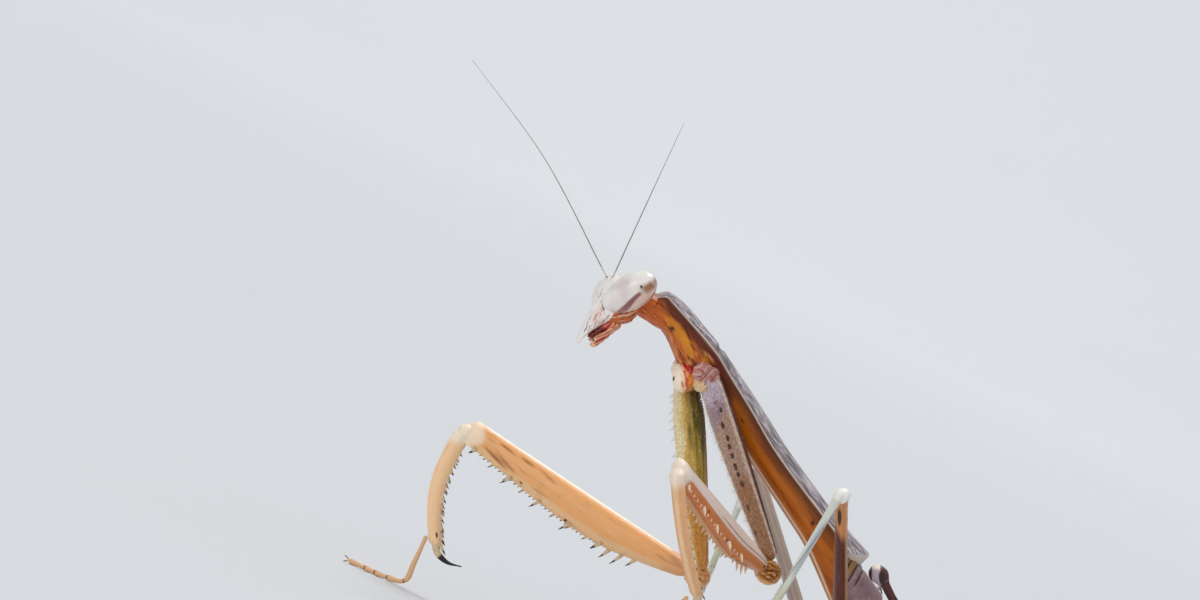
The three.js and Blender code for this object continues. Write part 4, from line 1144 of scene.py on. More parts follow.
CROWN_LINE = profile((31, 14), (34, 13.7), (41, 13.5), (60, 12.6), (75, 11.6), (88, 10.4))
SADDLE_HALF_WIDTH = profile((31, 2.6), (34, 3.2), (41, 3.35), (50, 4), (60, 4.3), (70, 4.1), (78, 3.5),
    (88, 1.7))
SADDLE_HALF_DEPTH = profile((31, 2), (36, 3), (60, 3.4), (75, 2.9), (88, 2))
WING_LAYER = 0.5
LAYER_GAP = 0.16


def wing_sheet(name, side, start, end, outer, inner, gap, thickness, veins):
    """One folded wing: a sheet laid over the back from its outer edge inwards, given a thickness."""
    nothing_selected()
    bpy.ops.mesh.primitive_grid_add(x_subdivisions=72, y_subdivisions=300, size=1)
    piece = named(name)
    co = points_of(piece)
    inwards, along = co[:, 0] + 0.5, co[:, 1] + 0.5
    y = start + along * (end - start)
    angle = outer(along) + inwards * (inner(along) - outer(along))
    vein = veins(inwards, along)
    off = gap(y, angle) + 0.1 * vein
    turn = np.radians(angle)
    half, deep = SADDLE_HALF_WIDTH(y), SADDLE_HALF_DEPTH(y)
    x = side * (half + off) * np.sin(turn)
    z = CROWN_LINE(y) - deep + (deep + off) * np.cos(turn)
    set_points(piece, np.stack([x, y, z], 1))
    mark(piece, grain=np.stack([inwards * 8.0, y, 0 * y], 1), inwards=inwards, vein=vein)
    if side > 0:
        edited(piece, bpy.ops.mesh.flip_normals)
    wall = piece.modifiers.new("Wall", "SOLIDIFY")
    wall.thickness = thickness * MM
    wall.offset = 0
    bpy.ops.object.modifier_apply(modifier=wall.name)
    bpy.ops.object.shade_smooth()
    return piece


def long_veins(places):
    """Ridges along the wing at the given shares of its width, fanning out slightly."""

    def veins(inwards, along):
        return np.maximum.reduce([hump(inwards, place + fan * (along - 0.5), width) for place, width,
            fan in places])

    return veins


def wing_finish(name, base, light, vein_tone, see_through):
    made = Finish(name)
    grain = made.mark("grain", vector=True)
    inwards = made.mark("inwards")
    net = made.cells(made.stretched(grain, (1.0, 0.55, 1.0)), 2.6, "DISTANCE_TO_EDGE")
    streak = made.noise(made.stretched(grain, (2.0, 0.2, 1.0)), 1.0, 4.0, 0.6)
    blotch = made.noise(made.stretched(grain, (0.7, 0.35, 1.0)), 1.0, 2.0)
    tone = made.mixed(made.between(streak, 0.35, 0.7), base, [c * 0.7 for c in linear(base)])
    tone = made.mixed(made.between(blotch, 0.5, 0.66, 0.0, 0.6), tone, (112, 80, 56))
    tone = made.mixed(made.between(inwards, 0.16, 0.1), tone, light)
    tone = made.mixed(made.between(net, 0.07, 0.02, 0.0, 0.75), tone, vein_tone)
    tone = made.painted(tone, vein=vein_tone)
    relief = made.bumped(streak, 0.04, 0.4, made.bumped(made.between(net, 0.12, 0.0), 0.06, 0.8))
    return made.end(tone, made.between(streak, 0.3, 0.7, 0.42, 0.58), relief, (0.15,),
        glow=(see_through, (1.0, 0.6, 0.35), 0.5))


def fore_wing(name, side, finish):
    def tip(t):
        return np.sqrt(np.maximum(0.02, 1 - smooth(t, 0.66, 1.02) ** 2))

    under = WING_LAYER + LAYER_GAP

    def gap(y, angle):
        base = 0.5 * WING_LAYER + LAYER_GAP + under * smooth(y, 34, 37)
        return base + under * fade(angle, 34, 50) if side > 0 else base

    sheet = wing_sheet(name + "_fore_wing_sheet", side, WING_FROM, WING_TO,
        lambda t: 76 * (0.25 + 0.75 * tip(t)), lambda t: 42 - (42 + 30 * tip(t)) * smooth(t, 0, 0.18), gap,
        0.26, long_veins([(0.012, 0.02, 0.0), (0.17, 0.012, 0.01), (0.24, 0.012, 0.03), (0.34, 0.01, 0.07),
        (0.45, 0.01, 0.1), (0.57, 0.01, 0.1), (0.7, 0.01, 0.08), (0.84, 0.01, 0.04)]))
    return placed(sheet, finish, "wing", name + "_fore_wing")


def wing_root(name, side, finish):
    """The knobbly hinge in front of a fore wing."""
    at = (2.05, 29.05, 17.05) if side > 0 else (-2.3, 31.3, 14.9)

    def folding(t, turn):
        return np.sin(9 * t + 2.2 * np.cos(turn) + 0.8) * np.cos(2 * turn + 5 * t)

    def relief(t, turn):
        return 0.1 * folding(t, turn) - 0.12 * line_along(turn, -1.3, 0.3) * (t < 0.25)

    shape = Limb(at, (side * 3.0, 34.2, 13.4), (0, 36, 20), lambda t: 1.5 - 0.85 * smooth(t, 0.14, 0.32),
        lambda t: 1.6 - 0.95 * smooth(t, 0.14, 0.32), relief, (0.14, 0.2))
    piece, t, turn = shape.skin(name + "_wing_root", 56, 90)
    folds = folding(t, turn)
    away = (stance_points(piece) - np.array(at)) * [side, 1, 1]
    knob = fade(t, 0.2, 0.3)
    right = away @ BACKWARDS
    mark(piece, top=knob * smooth(away @ [-0.13, -0.39, 0.91] + 0.2 * right, -0.6, 0.2)
        * smooth(right, -0.4, 0.0),
        side=np.maximum(knob * np.maximum(fade(right, -0.45, -0.1), smooth(right, 0.4, 0.75)), 1 - knob),
        crease=smooth(-folds, 0.45, 0.85))
    return placed(piece, finish, "wing")


def hind_wing(name, side, finish):
    sheet = wing_sheet(name + "_hind_wing_fan", side, 37.5, WING_TO - 3,
        lambda t: 66 - 40 * smooth(t, 0.6, 1), lambda t: 2.5, lambda *place: 0.5 * WING_LAYER + LAYER_GAP,
        0.2, long_veins([(0.05 + 0.075 * i, 0.012, 0.01 * (i - 6)) for i in range(12)]))
    return placed(sheet, finish, "wing", name + "_hind_wing")


# Forelegs


def shares(size, *pairs):
    share = profile(*pairs)
    return lambda t: size * share(t)


def grit_of(t, turn, along=60.0, around=9.0):
    """A fine uneven surface from a few waves."""
    return ((np.sin(along * t + 3 * np.sin(2 * turn)) * np.sin(around * turn + 5 * np.sin(7 * t))
        + 0.6 * np.sin(1.7 * along * t + 4 * turn)) / 1.6)


def spots_at(t, turn, places, length, round_size):
    """Soft spots: each is (share along, angle, half length along, half width around) in millimetres."""
    total = np.zeros(len(t))
    for at, angle, half_long, half_wide in places:
        away = np.hypot((t - at) * length / half_long, apart(turn, angle) * round_size / half_wide)
        total = np.maximum(total, fade(away, 0.6, 1.1))
    return total


def spine_finish(name, root_tone, tip_from):
    made = Finish(name)
    grain = made.mark("grain", vector=True)
    fine = made.noise(grain, 6.0, 2.0)
    tone = made.mixed(made.between(fine, 0.3, 0.7), root_tone, [0.75 * c for c in linear(root_tone)])
    tone = made.mixed(made.between(made.mark("tip"), tip_from, tip_from + 0.18), tone, (22, 14, 14))
    return made.end(tone, made.between(fine, 0.2, 0.8, 0.28, 0.4), made.bumped(fine, 0.02, 0.3))


def fore_coxa_shape(leg, teeth_turn):
    def relief(t, turn):
        keels = sum(line_along(turn, teeth_turn + a, 0.3) for a in (0.0, 1.25, 2.3, -1.3, -2.4))
        rough = 0.012 + 0.02 * smooth(t, 0.5, 0.8)
        root = fade(t, 0.08, 0.2)
        folds = np.sin(46 * t + 3 * np.cos(turn + 0.6)) * np.cos(2.2 * turn + 9 * t)
        return 0.09 * keels + rough * grit_of(t, turn, 95, 15) + 0.09 * folds * root - 0.04

    towards = np.add(leg["coxa_at"], leg["coxa_front"])
    return Limb(leg["coxa_at"], leg["coxa_end"], towards,
        shares(1.9, (0, 0.8), (0.12, 1), (0.6, 0.85), (1, 0.65)),
        shares(2.6, (0, 0.62), (0.12, 0.8), (0.25, 0.98), (0.6, 0.85), (1, 0.5)), ends=(0.05, 0.05),
        relief=relief)


def fore_coxa(name, leg, finish, tooth_finish, model):
    left = name == "left"
    teeth_turn = 0.68 if left else 1.36
    shape = fore_coxa_shape(leg, teeth_turn)
    piece, t, turn = shape.skin(name + "_fore_coxa_shell", 96, 240)
    mark(piece, lower=smooth(t, 0.35, 0.75), root=fade(t, 0.08, 0.24 if left else 0.14))
    if left:
        def dot(z, angle):
            """A spot, wider and longer towards the end of the coxa."""
            at = z / shape.length
            long = (1.1 + 0.5 * at) * (0.24 + 0.05 * math.sin(5 * z))
            return at, angle + 0.06 * math.sin(7 * z), long, (0.95 + 0.4 * at) * 0.16

        places = ((3.2, 2.36), (4.4, 2.15), (5.5, 2.12), (6.2, 2.1), (7.0, 2.1), (7.9, 2.04), (8.6, 2.02),
            (9.4, 2.0), (11.4, 1.8), (13.6, 1.33))
        dots = [dot(z, angle) for z, angle in places]
        folds = np.sin(46 * t + 3 * np.cos(turn + 0.6)) * np.cos(2.2 * turn + 9 * t)
        mark(piece, spot=spots_at(t, turn, dots, shape.length, 1.0), keel=line_along(turn, 2.93, 0.22),
            mauve=fade(t + 0.1 * np.cos(turn - 2.8), 0.2, 0.42), front=line_along(turn, teeth_turn, 0.55),
            back=fade(np.abs(apart(turn, 3.6)), 0.35, 0.55),
            crease=smooth(-folds, 0.3, 0.8) * fade(t, 0.12, 0.2))
    else:
        # On the far coxa the cream along the toothed front is partly its pale colour and partly painted
        # light on the side that faces the light; the darker band round the back at angle 3.5 is painted
        # shade.
        stray = 0.25 * np.sin(9 * t + 2) + 0.1 * np.sin(31 * t)
        mark(piece, cream=0.9 * fade(np.abs(apart(turn, 1.2)) + stray, 0.4, 1.8),
            olive=0.8 * hump(np.abs(apart(turn, 4.1)) + 0.5 * stray, 0, 2.6) * smooth(t, 0.0, 0.1)
            * fade(t, 0.1, 0.75),
            dusk=0.6 * hump(np.abs(apart(turn, 3.5)) + stray, 0, 1.1) * smooth(t, 0.1, 0.35)
            * fade(t, 0.6, 0.95), edge=line_along(turn, 4.3, 0.3))
    placed(piece, finish, "foreleg", name + "_fore_coxa")
    stands = []
    if left:
        large, sizes = (0.34, 0.43, 0.52, 0.6, 0.68, 0.76), ((0.36, 0.16), (0.5, 0.24))
    else:
        large, sizes = (0.13, 0.165, 0.205, 0.25, 0.295, 0.34, 0.42, 0.52), ((0.14, 0.16), (0.56, 0.34))
    for i in range(COXA_TEETH):
        at = 0.12 + 0.82 * i / (COXA_TEETH - 1)
        big = min(abs(at - b) for b in large) < 0.0066
        root, _ = shape.at(at, teeth_turn + 0.05 * math.sin(5.0 * i))
        away = root - shape.start
        away = unit(away - shape.axis * away.dot(shape.axis))
        length, thick = sizes[big]
        stands.append((root - 0.05 * away, away + 0.3 * shape.axis, shape.axis, length, thick))
    teeth = joined(name + "_coxa_teeth", spines(model, stands))
    placed(teeth, tooth_finish, "foreleg")


def trochanter(name, leg, finish):
    piece = ball(name + "_fore_trochanter_bulb", 96, 72)
    on = points_of(piece)
    creases = strokes(on,
        (0.2, [(0.01, -0.98, -0.2), (0.49, -0.87, 0.06), (0.86, -0.5, 0.12), (0.94, 0.05, 0.32),
        (0.53, 0.75, 0.39)]), (0.24, [(0.89, 0.3, 0.3), (0.74, 0.64, 0.16), (0.9, 0.4, -0.12)]),
        (0.1, [(0.5, -0.5, 0.7), (0.75, 0.0, 0.65), (0.6, 0.5, 0.6)]),
        (0.1, [(0.9, -0.4, -0.2), (0.98, 0.0, -0.12), (0.9, 0.4, -0.3), (0.6, 0.75, -0.25)]),
        (0.15, [(0.67, -0.58, -0.46), (0.86, -0.18, -0.48), (0.78, 0.31, -0.54)]),
        (0.12, [(0.25, -0.97, -0.02), (0.49, -0.81, 0.33), (0.79, -0.41, 0.45)]),
        (0.2, [(-0.9, -0.3, 0.3), (-0.95, 0.3, 0.0), (-0.6, 0.75, -0.3)]),
        (0.16, [(-0.7, -0.6, -0.4), (-0.85, 0.0, -0.5), (-0.6, 0.5, -0.6)]))
    wrinkle = (np.sin(9 * on[:, 0] + 6 * on[:, 1] + 3 * np.sin(4 * on[:, 2]))
        * np.sin(7 * on[:, 2] - 5 * on[:, 1]))
    local = on * (1 + 0.05 * wrinkle - 0.2 * creases)[:, None] * [1.05, 1.07, 1.0]
    shaped(piece, local, at=leg["bulb"])
    mark(piece, crease=0.75 * creases, light=smooth(wrinkle, 0.2, 0.8) + smooth(-on[:, 2], 0.55, 0.85))
    return placed(piece, finish, "foreleg", name + "_fore_trochanter")


def throat(finish):
    """The soft red and orange skin between the roots of the forelegs."""
    piece = ball("throat_skin", 96, 72)
    on = points_of(piece)
    lines = strokes(on, (0.12, [(0.11, -0.85, 0.52), (0.9, -0.42, 0.12), (0.85, 0.15, -0.51),
        (0.24, 0.8, -1.0)]), (0.1, [(0.82, -0.46, -0.34), (0.76, -0.13, -0.64)]))
    fold = np.sin(9 * on[:, 1] + 3 * on[:, 2] + 2 * np.sin(5 * on[:, 0])) * np.cos(6 * on[:, 2])
    local = on * (1 + 0.04 * fold - 0.06 * lines)[:, None] * [1.4, 1.0, 1.35]
    shaped(piece, local, at=THROAT_AT)
    forwards = local @ unit(BACKWARDS)
    mark(piece, red=smooth(local[:, 2] + 0.6 * forwards, 0.3, 0.75),
        cream=smooth(-forwards + 0.1 * fold, -0.9, 1.2), crease=lines,
        dot=fade(np.linalg.norm(on - [0.21, -0.89, -0.4], axis=1), 0.12, 0.17))
    return placed(piece, finish, "neck")


def coxa_lobes(name, side, finish):
    """The fleshy lobes from which a fore coxa hangs."""
    parts = []
    for at, size in (((2.2, 9.5, 25.75), (0.85, 0.82, 0.95)), ((2.25, 10.1, 25.7), (0.8, 0.84, 0.92)),
                     ((2.1, 9.8, 24.85), (0.9, 0.62, 0.6))):
        piece = ball("coxa_lobe", 64, 48)
        on = points_of(piece)
        lines = strokes(on, (0.16, [(0.0, -0.29, -0.96), (0.85, -0.09, -0.51), (0.96, 0.23, 0.18),
            (0.11, 0.5, 0.86)]), (0.13, [(0.46, -0.87, 0.18), (0.94, -0.31, 0.16), (0.89, 0.41, -0.18)]),
            (0.13, [(0.53, -0.69, -0.49), (0.9, -0.32, -0.28), (0.83, -0.22, 0.51)]))
        fold = np.sin(6 * on[:, 1] - 7 * on[:, 2] + 2 * on[:, 0] + 1.8 * np.sin(3 * on[:, 1] + 2 * on[:, 2])
            + at[1])
        local = on * (1 + 0.03 * fold - 0.06 * lines)[:, None] * size * [side, 1, 1]
        if side < 0:
            place = local + np.array(at) * [-0.86, 1, 1] + [0.0, -0.55, -0.5]
        else:
            place = local + np.array(at)
        set_points(piece, place)
        # The light mark is painted highlight on the crests of the folds.
        mark(piece, grain=local + at, crease=lines * (0.35 if at[2] < 25 else 1.0),
            light=0.55 * smooth(fold, -0.2, 1.0))
        if side > 0:
            mark(piece, low=smooth(25.35 - place[:, 2] + 0.15 * fold, 0.0, 0.5))
        else:
            mark(piece, warm=smooth(place @ BACKWARDS + 0.12 * fold, 17.2, 17.95))
        parts.append(piece)
    lobes = edited(joined(name + "_coxa_lobes", parts), bpy.ops.mesh.normals_make_consistent)
    return placed(lobes, finish, "foreleg")


def fore_femur_shape(leg):
    def relief(t, turn):
        keel = line_along(turn, OUTER, 0.3)
        trough = line_along(turn, FLEXING, 0.42) * smooth(t, 0.3, 0.42)
        rows = line_along(turn, 1.02, 0.2) + line_along(turn, 2.12, 0.2)
        knee = hump(t, 0.955, 0.05) * np.abs(np.cos(turn))
        return (0.08 * keel - 0.2 * trough + 0.08 * rows * smooth(t, 0.25, 0.4) + 0.08 * knee
            + 0.012 * grit_of(t, turn, 120, 13))

    deep = shares(3.1, (0, 0.42), (0.15, 0.68), (0.38, 0.97), (0.6, 0.92), (0.85, 0.74), (1, 0.66))
    return Limb(leg["hip"], leg["knee"], leg["wrist"],
        shares(1.7, (0, 0.65), (0.2, 0.94), (0.5, 1), (0.85, 0.8), (1, 0.74)), deep,
        bow=lambda t: 0.5 * deep(t) - 0.84 - 0.18 * t, ends=(0.04, 0.03), relief=relief)


def fore_femur(name, leg, finish, spine_look, model, thickness):
    shape = fore_femur_shape(leg)
    piece, t, turn = shape.skin(name + "_fore_femur_shell", 96, 240)
    left = name == "left"
    outer = np.abs(apart(turn, -0.64 if left else OUTER))
    ridge = 1.12 if left else 0.45
    mark(piece, ridge=fade(outer, ridge - 0.25, ridge),
        inner=smooth(outer, 2.3, 2.6) if left else smooth(outer, 1.9, 2.2))
    if left:
        mark(piece, rosy=smooth(outer, 2.0, 2.4) * fade(t, 0.3, 0.42),
            stripe=np.maximum(hump(outer, 0.75, 0.1), 0.6 * hump(outer, 1.05, 0.08)) * fade(t, 0.5, 0.75))
    else:
        stray = 0.12 * np.sin(11 * t) + 0.05 * np.sin(47 * t)
        streaks = np.maximum(0.8 * hump(outer + stray, 1.05, 0.34), 0.5 * hump(outer - stray, 1.5, 0.2))
        blotch = hump(np.hypot((t - 0.83) * 9, (outer - 1.95) * 2.2 + 3 * (t - 0.83)), 0, 1.3)
        mark(piece, streak=streaks * smooth(t, 0.45, 0.7) * fade(t, 0.86, 0.97)
            * (0.75 + 0.25 * np.sin(61 * t + 9 * turn)),
            blotch=0.9 * blotch * (0.8 + 0.2 * np.sin(53 * t + 13 * turn)))
    mark(piece, knee=smooth(t + 0.015 * np.cos(3 * turn), 0.88, 0.99), root=fade(t, 0.04, 0.16))
    spots = [(0.72, 0.75, 0.16, 0.12), (0.72, 2.4, 0.16, 0.12), (0.5, 0.95, 0.2, 0.14),
        (0.5, 2.2, 0.2, 0.14), (0.06, 0.6, 0.25, 0.2), (0.06, 2.5, 0.25, 0.2), (0.3, 0.9, 0.16, 0.12),
        (0.3, 2.25, 0.16, 0.12)]
    mark(piece, spot=spots_at(t, turn, spots, shape.length, 1.1))
    placed(piece, finish, "foreleg", name + "_fore_femur")
    thick = thickness / MM
    stands = []

    def stand(at, angle, length, lean, width):
        root, _ = shape.at(at, angle)
        away = shape.flex + math.cos(angle) * 0.55 * shape.side + lean * shape.axis
        stands.append((root - 0.1 * shape.flex, away, shape.axis, length, thick * width))

    # where a row starts, its step and angle, the lengths along it, its lean and width
    for start, step, angle, lengths, lean, width in (
        (0.36, 0.037, 2.15, [0.42, 0.72] * 7 + [0.42], 0.45, 0.8), (0.34, 0.14, 0.98, [1.1] * 4, 0.4, 1.0),
        (0.38, 0.037, 1.05, [0.3] * 15, 0.3, 0.6), (0.2, 0.05, FLEXING, [1.0, 1.35, 1.2, 0.8], 0.3, 1.0),
        (0.93, 0.0, 0.95, [0.7], 0.3, 1.0), (0.93, 0.0, 2.2, [0.7], 0.3, 1.0),
    ):
        for i, length in enumerate(lengths):
            stand(start + step * i, angle, length, lean, width)
    placed(joined(name + "_femur_spines", spines(model, stands)), spine_look, "foreleg")


def fore_tibia_shape(leg):
    def relief(t, turn):
        keel = line_along(turn, OUTER, 0.35)
        rows = line_along(turn, 1.1, 0.25) + line_along(turn, 2.04, 0.25)
        joint = (hump(t, 0.05, 0.07) * np.abs(np.cos(turn))
            + 1.2 * hump(t, 0.05, 0.2) * line_along(turn, OUTER, 1.1))
        return (0.05 * keel + 0.05 * rows * smooth(t, 0.15, 0.3) + 0.1 * joint
            + 0.01 * grit_of(t, turn, 90, 11))

    return Limb(leg["knee"], leg["wrist"], leg["hip"], shares(1.15, (0, 1), (0.2, 0.9), (1, 0.75)),
        shares(1.4, (0, 0.95), (0.15, 1), (0.5, 0.9), (1, 0.72)), bow=lambda t: -1.1 * np.sin(math.pi * t),
        ends=(0.06, 0.06), relief=relief)


def knee_cap(name, at, finish):
    """The rounded, folded cap that closes a foreleg's knee on the outside."""
    piece = ball(name + "_fore_knee", 64, 48)
    on = points_of(piece)
    fold = np.sin(7 * on[:, 0] + 9 * on[:, 2]) * np.sin(8 * on[:, 1] - 4 * on[:, 2])
    local = on * (1 + 0.03 * fold)[:, None] * [0.7, 0.78, 0.74]
    shaped(piece, local, at=at)
    mark(piece, knee=0.9)
    return placed(piece, finish, "foreleg")


def fore_tibia(name, leg, finish, spine_look, model, thickness):
    shape = fore_tibia_shape(leg)
    piece, t, turn = shape.skin(name + "_fore_tibia_shell", 72, 180)
    mark(piece, ridge=line_along(turn, OUTER, 0.6), inner=line_along(turn, FLEXING, 0.8),
        knee=fade(t, 0.0, 0.24),
        spot=spots_at(t, turn, [(0.9, 0.4, 0.25, 0.15), (0.9, 2.7, 0.25, 0.15)], shape.length, 0.6))

    def bend(along, inwards):
        return shape.end + along * shape.axis + inwards * shape.flex

    claw, ct, _ = feeler("claw", [bend(-0.75, -0.1), bend(0.3, 0.2), bend(0.92, 1.2), bend(0.97, 2.45)],
        lambda t: 0.8 - 0.25 * smooth(t, 0, 0.35) - 0.45 * smooth(t, 0.3, 1), 24, 60)
    mark(claw, tip=0.12 + 0.88 * smooth(ct, 0.12, 0.7))
    placed(claw, spine_look, "foreleg")
    claw.name = name + "_fore_claw"
    placed(piece, finish, "foreleg", name + "_fore_tibia")
    thick = thickness / MM
    stands = []
    for row, angle, count in (("outer", 1.1, 11), ("inner", 2.04, 15)):
        for i in range(count):
            share = i / (count - 1)
            at = 0.2 + 0.76 * share
            root, _ = shape.at(at, angle)
            away = shape.flex + 1.5 * shape.axis + 0.3 * math.cos(angle) * shape.side
            length = 0.4 + 0.66 * share if row == "outer" else 0.36 + 0.5 * share
            stands.append((root - 0.06 * shape.flex, away, shape.flex, length, thick * (0.7 + 0.2 * share)))
    placed(joined(name + "_tibia_spines", spines(model, stands)), spine_look, "foreleg")


FOOT_JOINTS = (0.46, 0.62, 0.74, 0.84, 1.0)  # where each of the five joints ends


def foot_beads(thick):
    """The thickness of a foot, with each joint widening to its end."""
    ends = np.array(FOOT_JOINTS)

    def read(t):
        index = np.clip(np.searchsorted(ends, t, side="left"), 0, len(ends) - 1)
        start = np.concatenate([[0.0], ends[:-1]])[index]
        within = np.clip((t - start) / (ends[index] - start), 0, 1)
        return thick * (0.74 + 0.26 * smooth(within, 0.2, 0.85) - 0.3 * smooth(within, 0.93, 1.0))

    return read


def foot_skin(name, points, finish, slot, node, up=(0.1, 0.05, 1.0), size=0.5):
    """A foot of five joints with two claws at its tip."""
    piece, t, turn = feeler("foot", points, foot_beads(size), 24, 200, up=up)
    mark(piece, joint=np.maximum.reduce([hump(t, end + 0.004, 0.018) for end in FOOT_JOINTS[:-1]]), tip=0.0)
    parts = [piece]
    last, before = np.array(points[-1]), np.array(points[-2])
    away = unit(last - before)
    across = unit(np.cross(away, up))
    for side in (1, -1):
        path = [last - 0.12 * away, last + 0.16 * away + 0.12 * side * across,
            last + 0.36 * away + 0.24 * side * across - [0, 0, 0.02],
            last + 0.5 * away + 0.27 * side * across - [0, 0, 0.08]]
        claw, ct, _ = feeler("foot_claw", path, lambda t: 0.15 * (1 - 0.75 * t), 8, 20)
        mark(claw, joint=0.0, tip=smooth(ct, 0.2, 0.6))
        parts.append(claw)
    foot = joined(name, parts)
    places = stance_points(foot)
    places[:, 2] = np.maximum(places[:, 2], 0.005)
    set_points(foot, places)
    return placed(foot, finish, slot, node)


# Walking legs


def walking_leg(name, leg, finishes, model, hair_length):
    """Coxa, thigh, shin and foot of one walking leg, with fine hairs on the shin."""
    hind = name.endswith("hind")
    coxa_size, femur_size, shin_size = (2.3, 1.25, 0.74) if hind else (2.1, 1.15, 0.54)

    def ridges(t, turn):
        return (0.06 * sum(line_along(turn, a, 0.5) for a in (0.6, 2.5, -0.7, -2.4))
            + 0.02 * grit_of(t, turn))

    def round_size(t):
        return coxa_size + (1.35 - coxa_size) * t

    coxa = Limb(leg["coxa_at"], leg["hip"], leg["knee"], round_size, round_size, ends=(0.15, 0.2),
        relief=ridges)
    piece, t, turn = coxa.skin(name + "_coxa_shell", 64, 72)
    mark(piece, keel=np.clip(ridges(t, turn) * 14, 0, 1), ring=hump(t, 0.72, 0.06))
    placed(piece, finishes["coxa"], "leg", name + "_coxa")

    deep = shares(femur_size, (0, 1.15), (0.5, 1), (0.92, 0.9), (0.98, 1.25), (1, 1.25))
    keels = (0.75, 2.4, -0.75, -2.4, OUTER)

    def thigh_relief(t, turn):
        lobes = hump(t, 0.97, 0.035) * np.abs(np.cos(turn))
        rows = sum(line_along(turn, a, 0.2) for a in keels)
        return 0.05 * rows + 0.05 * lobes + 0.006 * grit_of(t, turn, 140, 9) - 0.02

    thigh = Limb(leg["hip"], leg["knee"], leg["ankle"], lambda t: 0.85 * deep(t), deep, ends=(0.03, 0.03),
        relief=thigh_relief)
    piece, t, turn = thigh.skin(name + "_thigh_shell", 64, 240)
    mark(piece, keel=np.clip(sum(line_along(turn, a, 0.16) for a in keels[1:]), 0, 1),
        knee=smooth(t, 0.962, 0.978))
    near = name == "left_mid"
    if near:
        slots = spots_at(t, turn, [(0.87, 1.25, 1.35, 0.22), (0.83, -0.5, 0.2, 0.14)], thigh.length, 0.5)
        mark(piece, warm=smooth(np.cos(turn + 0.75), 0.45, 0.8),
            top=smooth(t + 0.06 * np.cos(turn), 0.66, 0.9), slot=slots)
    else:
        mark(piece, outer=line_along(turn, OUTER, 0.9))
    placed(piece, finishes["near_thigh" if near else "thigh"], "leg", name + "_femur")

    size = shares(shin_size, (0, 1.5), (0.1, 1.15), (0.5, 1), (1, 1))
    shin_keels = (0.8, 2.35, -0.8, -2.35)

    def shin_relief(t, turn):
        rows = sum(line_along(turn, a, 0.25) for a in shin_keels)
        return 0.025 * rows + 0.004 * grit_of(t, turn, 150, 7)

    shin = Limb(leg["knee"], leg["ankle"], leg["hip"], size, size, ends=(0.03, 0.02), relief=shin_relief)
    piece, t, turn = shin.skin(name + "_shin_shell", 48, 240)
    mark(piece, keel=np.clip(sum(line_along(turn, a, 0.2) for a in shin_keels), 0, 1),
        knee=fade(t, 0.02, 0.05),
        blue=line_along(turn, -1.0, 1.1) * smooth(t, 0.05, 0.2) * fade(t, 0.25, 0.45),
        green=smooth(t, 0.3, 0.5) * fade(t, 0.7, 0.9), end=smooth(t, 0.94, 1.0))
    placed(piece, finishes["shin"], "leg", name + "_tibia")

    reach = leg["foot"]
    toes = np.array([*unit((*leg["toes"], 0.0))[:2], 0.0])
    ankle = np.array(leg["ankle"])

    def step(along, height):
        return [*(ankle + toes * along)[:2], height]

    foot_skin(name + "_foot",
        [step(-0.05, 0.9), step(0.75, 0.42), step(0.5 * reach, 0.26), step(reach - 0.55, 0.26)],
        finishes["foot"], "leg", name + "_tarsus", size=0.46)
    # share along the shin, angle round it, how deep it is rooted, lean, length and thickness
    hairs = [(0.06 + 0.92 * ((i * SEED_SHARE) % 1.0), (i * SEED_TURN) % (2 * math.pi), 0.02, 1.3,
        hair_length / MM, 0.035) for i in range(HAIRS)]
    hairs += [(0.5 + 0.055 * i, angle, 0.03, 1.1, 0.3, 0.07) for i in range(9) for angle in (1.15, 2.0)]
    stands = []
    for at, angle, sunk, lean, length, thick in hairs:
        root, _ = shin.at(at, angle)
        away = math.cos(angle) * shin.side + math.sin(angle) * shin.flex
        stands.append((root - sunk * away, away + lean * shin.axis, shin.axis, length, thick))
    placed(joined(name + "_shin_hairs", spines(model, stands)), finishes["hair"], "leg")


# Operators


class MANTIS_OT_head(bpy.types.Operator):
    """Builds the head, its eyes, mouth and antennae"""

    bl_idname = "mantis.head"
    bl_label = "Head"

    def execute(self, context):
        sizes, colours = context.scene.mantis_sizes, context.scene.mantis_colours
        head_skin(colours)
        eyes, whips = eye_finish(colours), antenna_finish()
        for name, side in SIDES.items():
            eye_globe(name, side, eyes)
            antenna(name, side, sizes.antenna_thickness, whips)
        mouth_parts()
        return {"FINISHED"}


class MANTIS_OT_chest(bpy.types.Operator):
    """Builds the neck and the long chest shield"""

    bl_idname = "mantis.chest"
    bl_label = "Neck and chest shield"

    def execute(self, context):
        neck_skin()
        chest_shield(context.scene.mantis_sizes, context.scene.mantis_colours)
        return {"FINISHED"}


class MANTIS_OT_trunk(bpy.types.Operator):
    """Builds the hind chest, the abdomen and its two feelers"""

    bl_idname = "mantis.trunk"
    bl_label = "Trunk"

    def execute(self, context):
        waist_skin()
        thorax_skin()
        abdomen_skin()
        finish = cuticle("cercus", (160, 124, 86), dict(ring=(96, 66, 44, 0.2)), rough=0.5, streaks=0.3,
            pits=0.5, gloss=0.15)
        for name, side in SIDES.items():
            cercus(name, side, finish)
        return {"FINISHED"}


class MANTIS_OT_wings(bpy.types.Operator):
    """Builds the four folded wings"""

    bl_idname = "mantis.wings"
    bl_label = "Wings"

    def execute(self, context):
        colours = context.scene.mantis_colours
        cover = wing_finish("wing_cover", colours.wing, (176, 170, 112), (92, 66, 46), 0.05)
        fan = wing_finish("wing_fan", (124, 96, 78), (150, 104, 88), (66, 44, 36), 0.1)
        root = cuticle("wing_root", (176, 158, 170),
            dict(top=(240, 226, 208, 0.4), side=(84, 40, 34, 0.4), crease=(58, 32, 30, 0.3)), rough=0.4,
            streaks=0.25, streak_scale=(1.5, 1.5, 0.8), pits=0.5)
        for name, side in SIDES.items():
            fore_wing(name, side, cover)
            wing_root(name, side, root)
            hind_wing(name, side, fan)
        return {"FINISHED"}


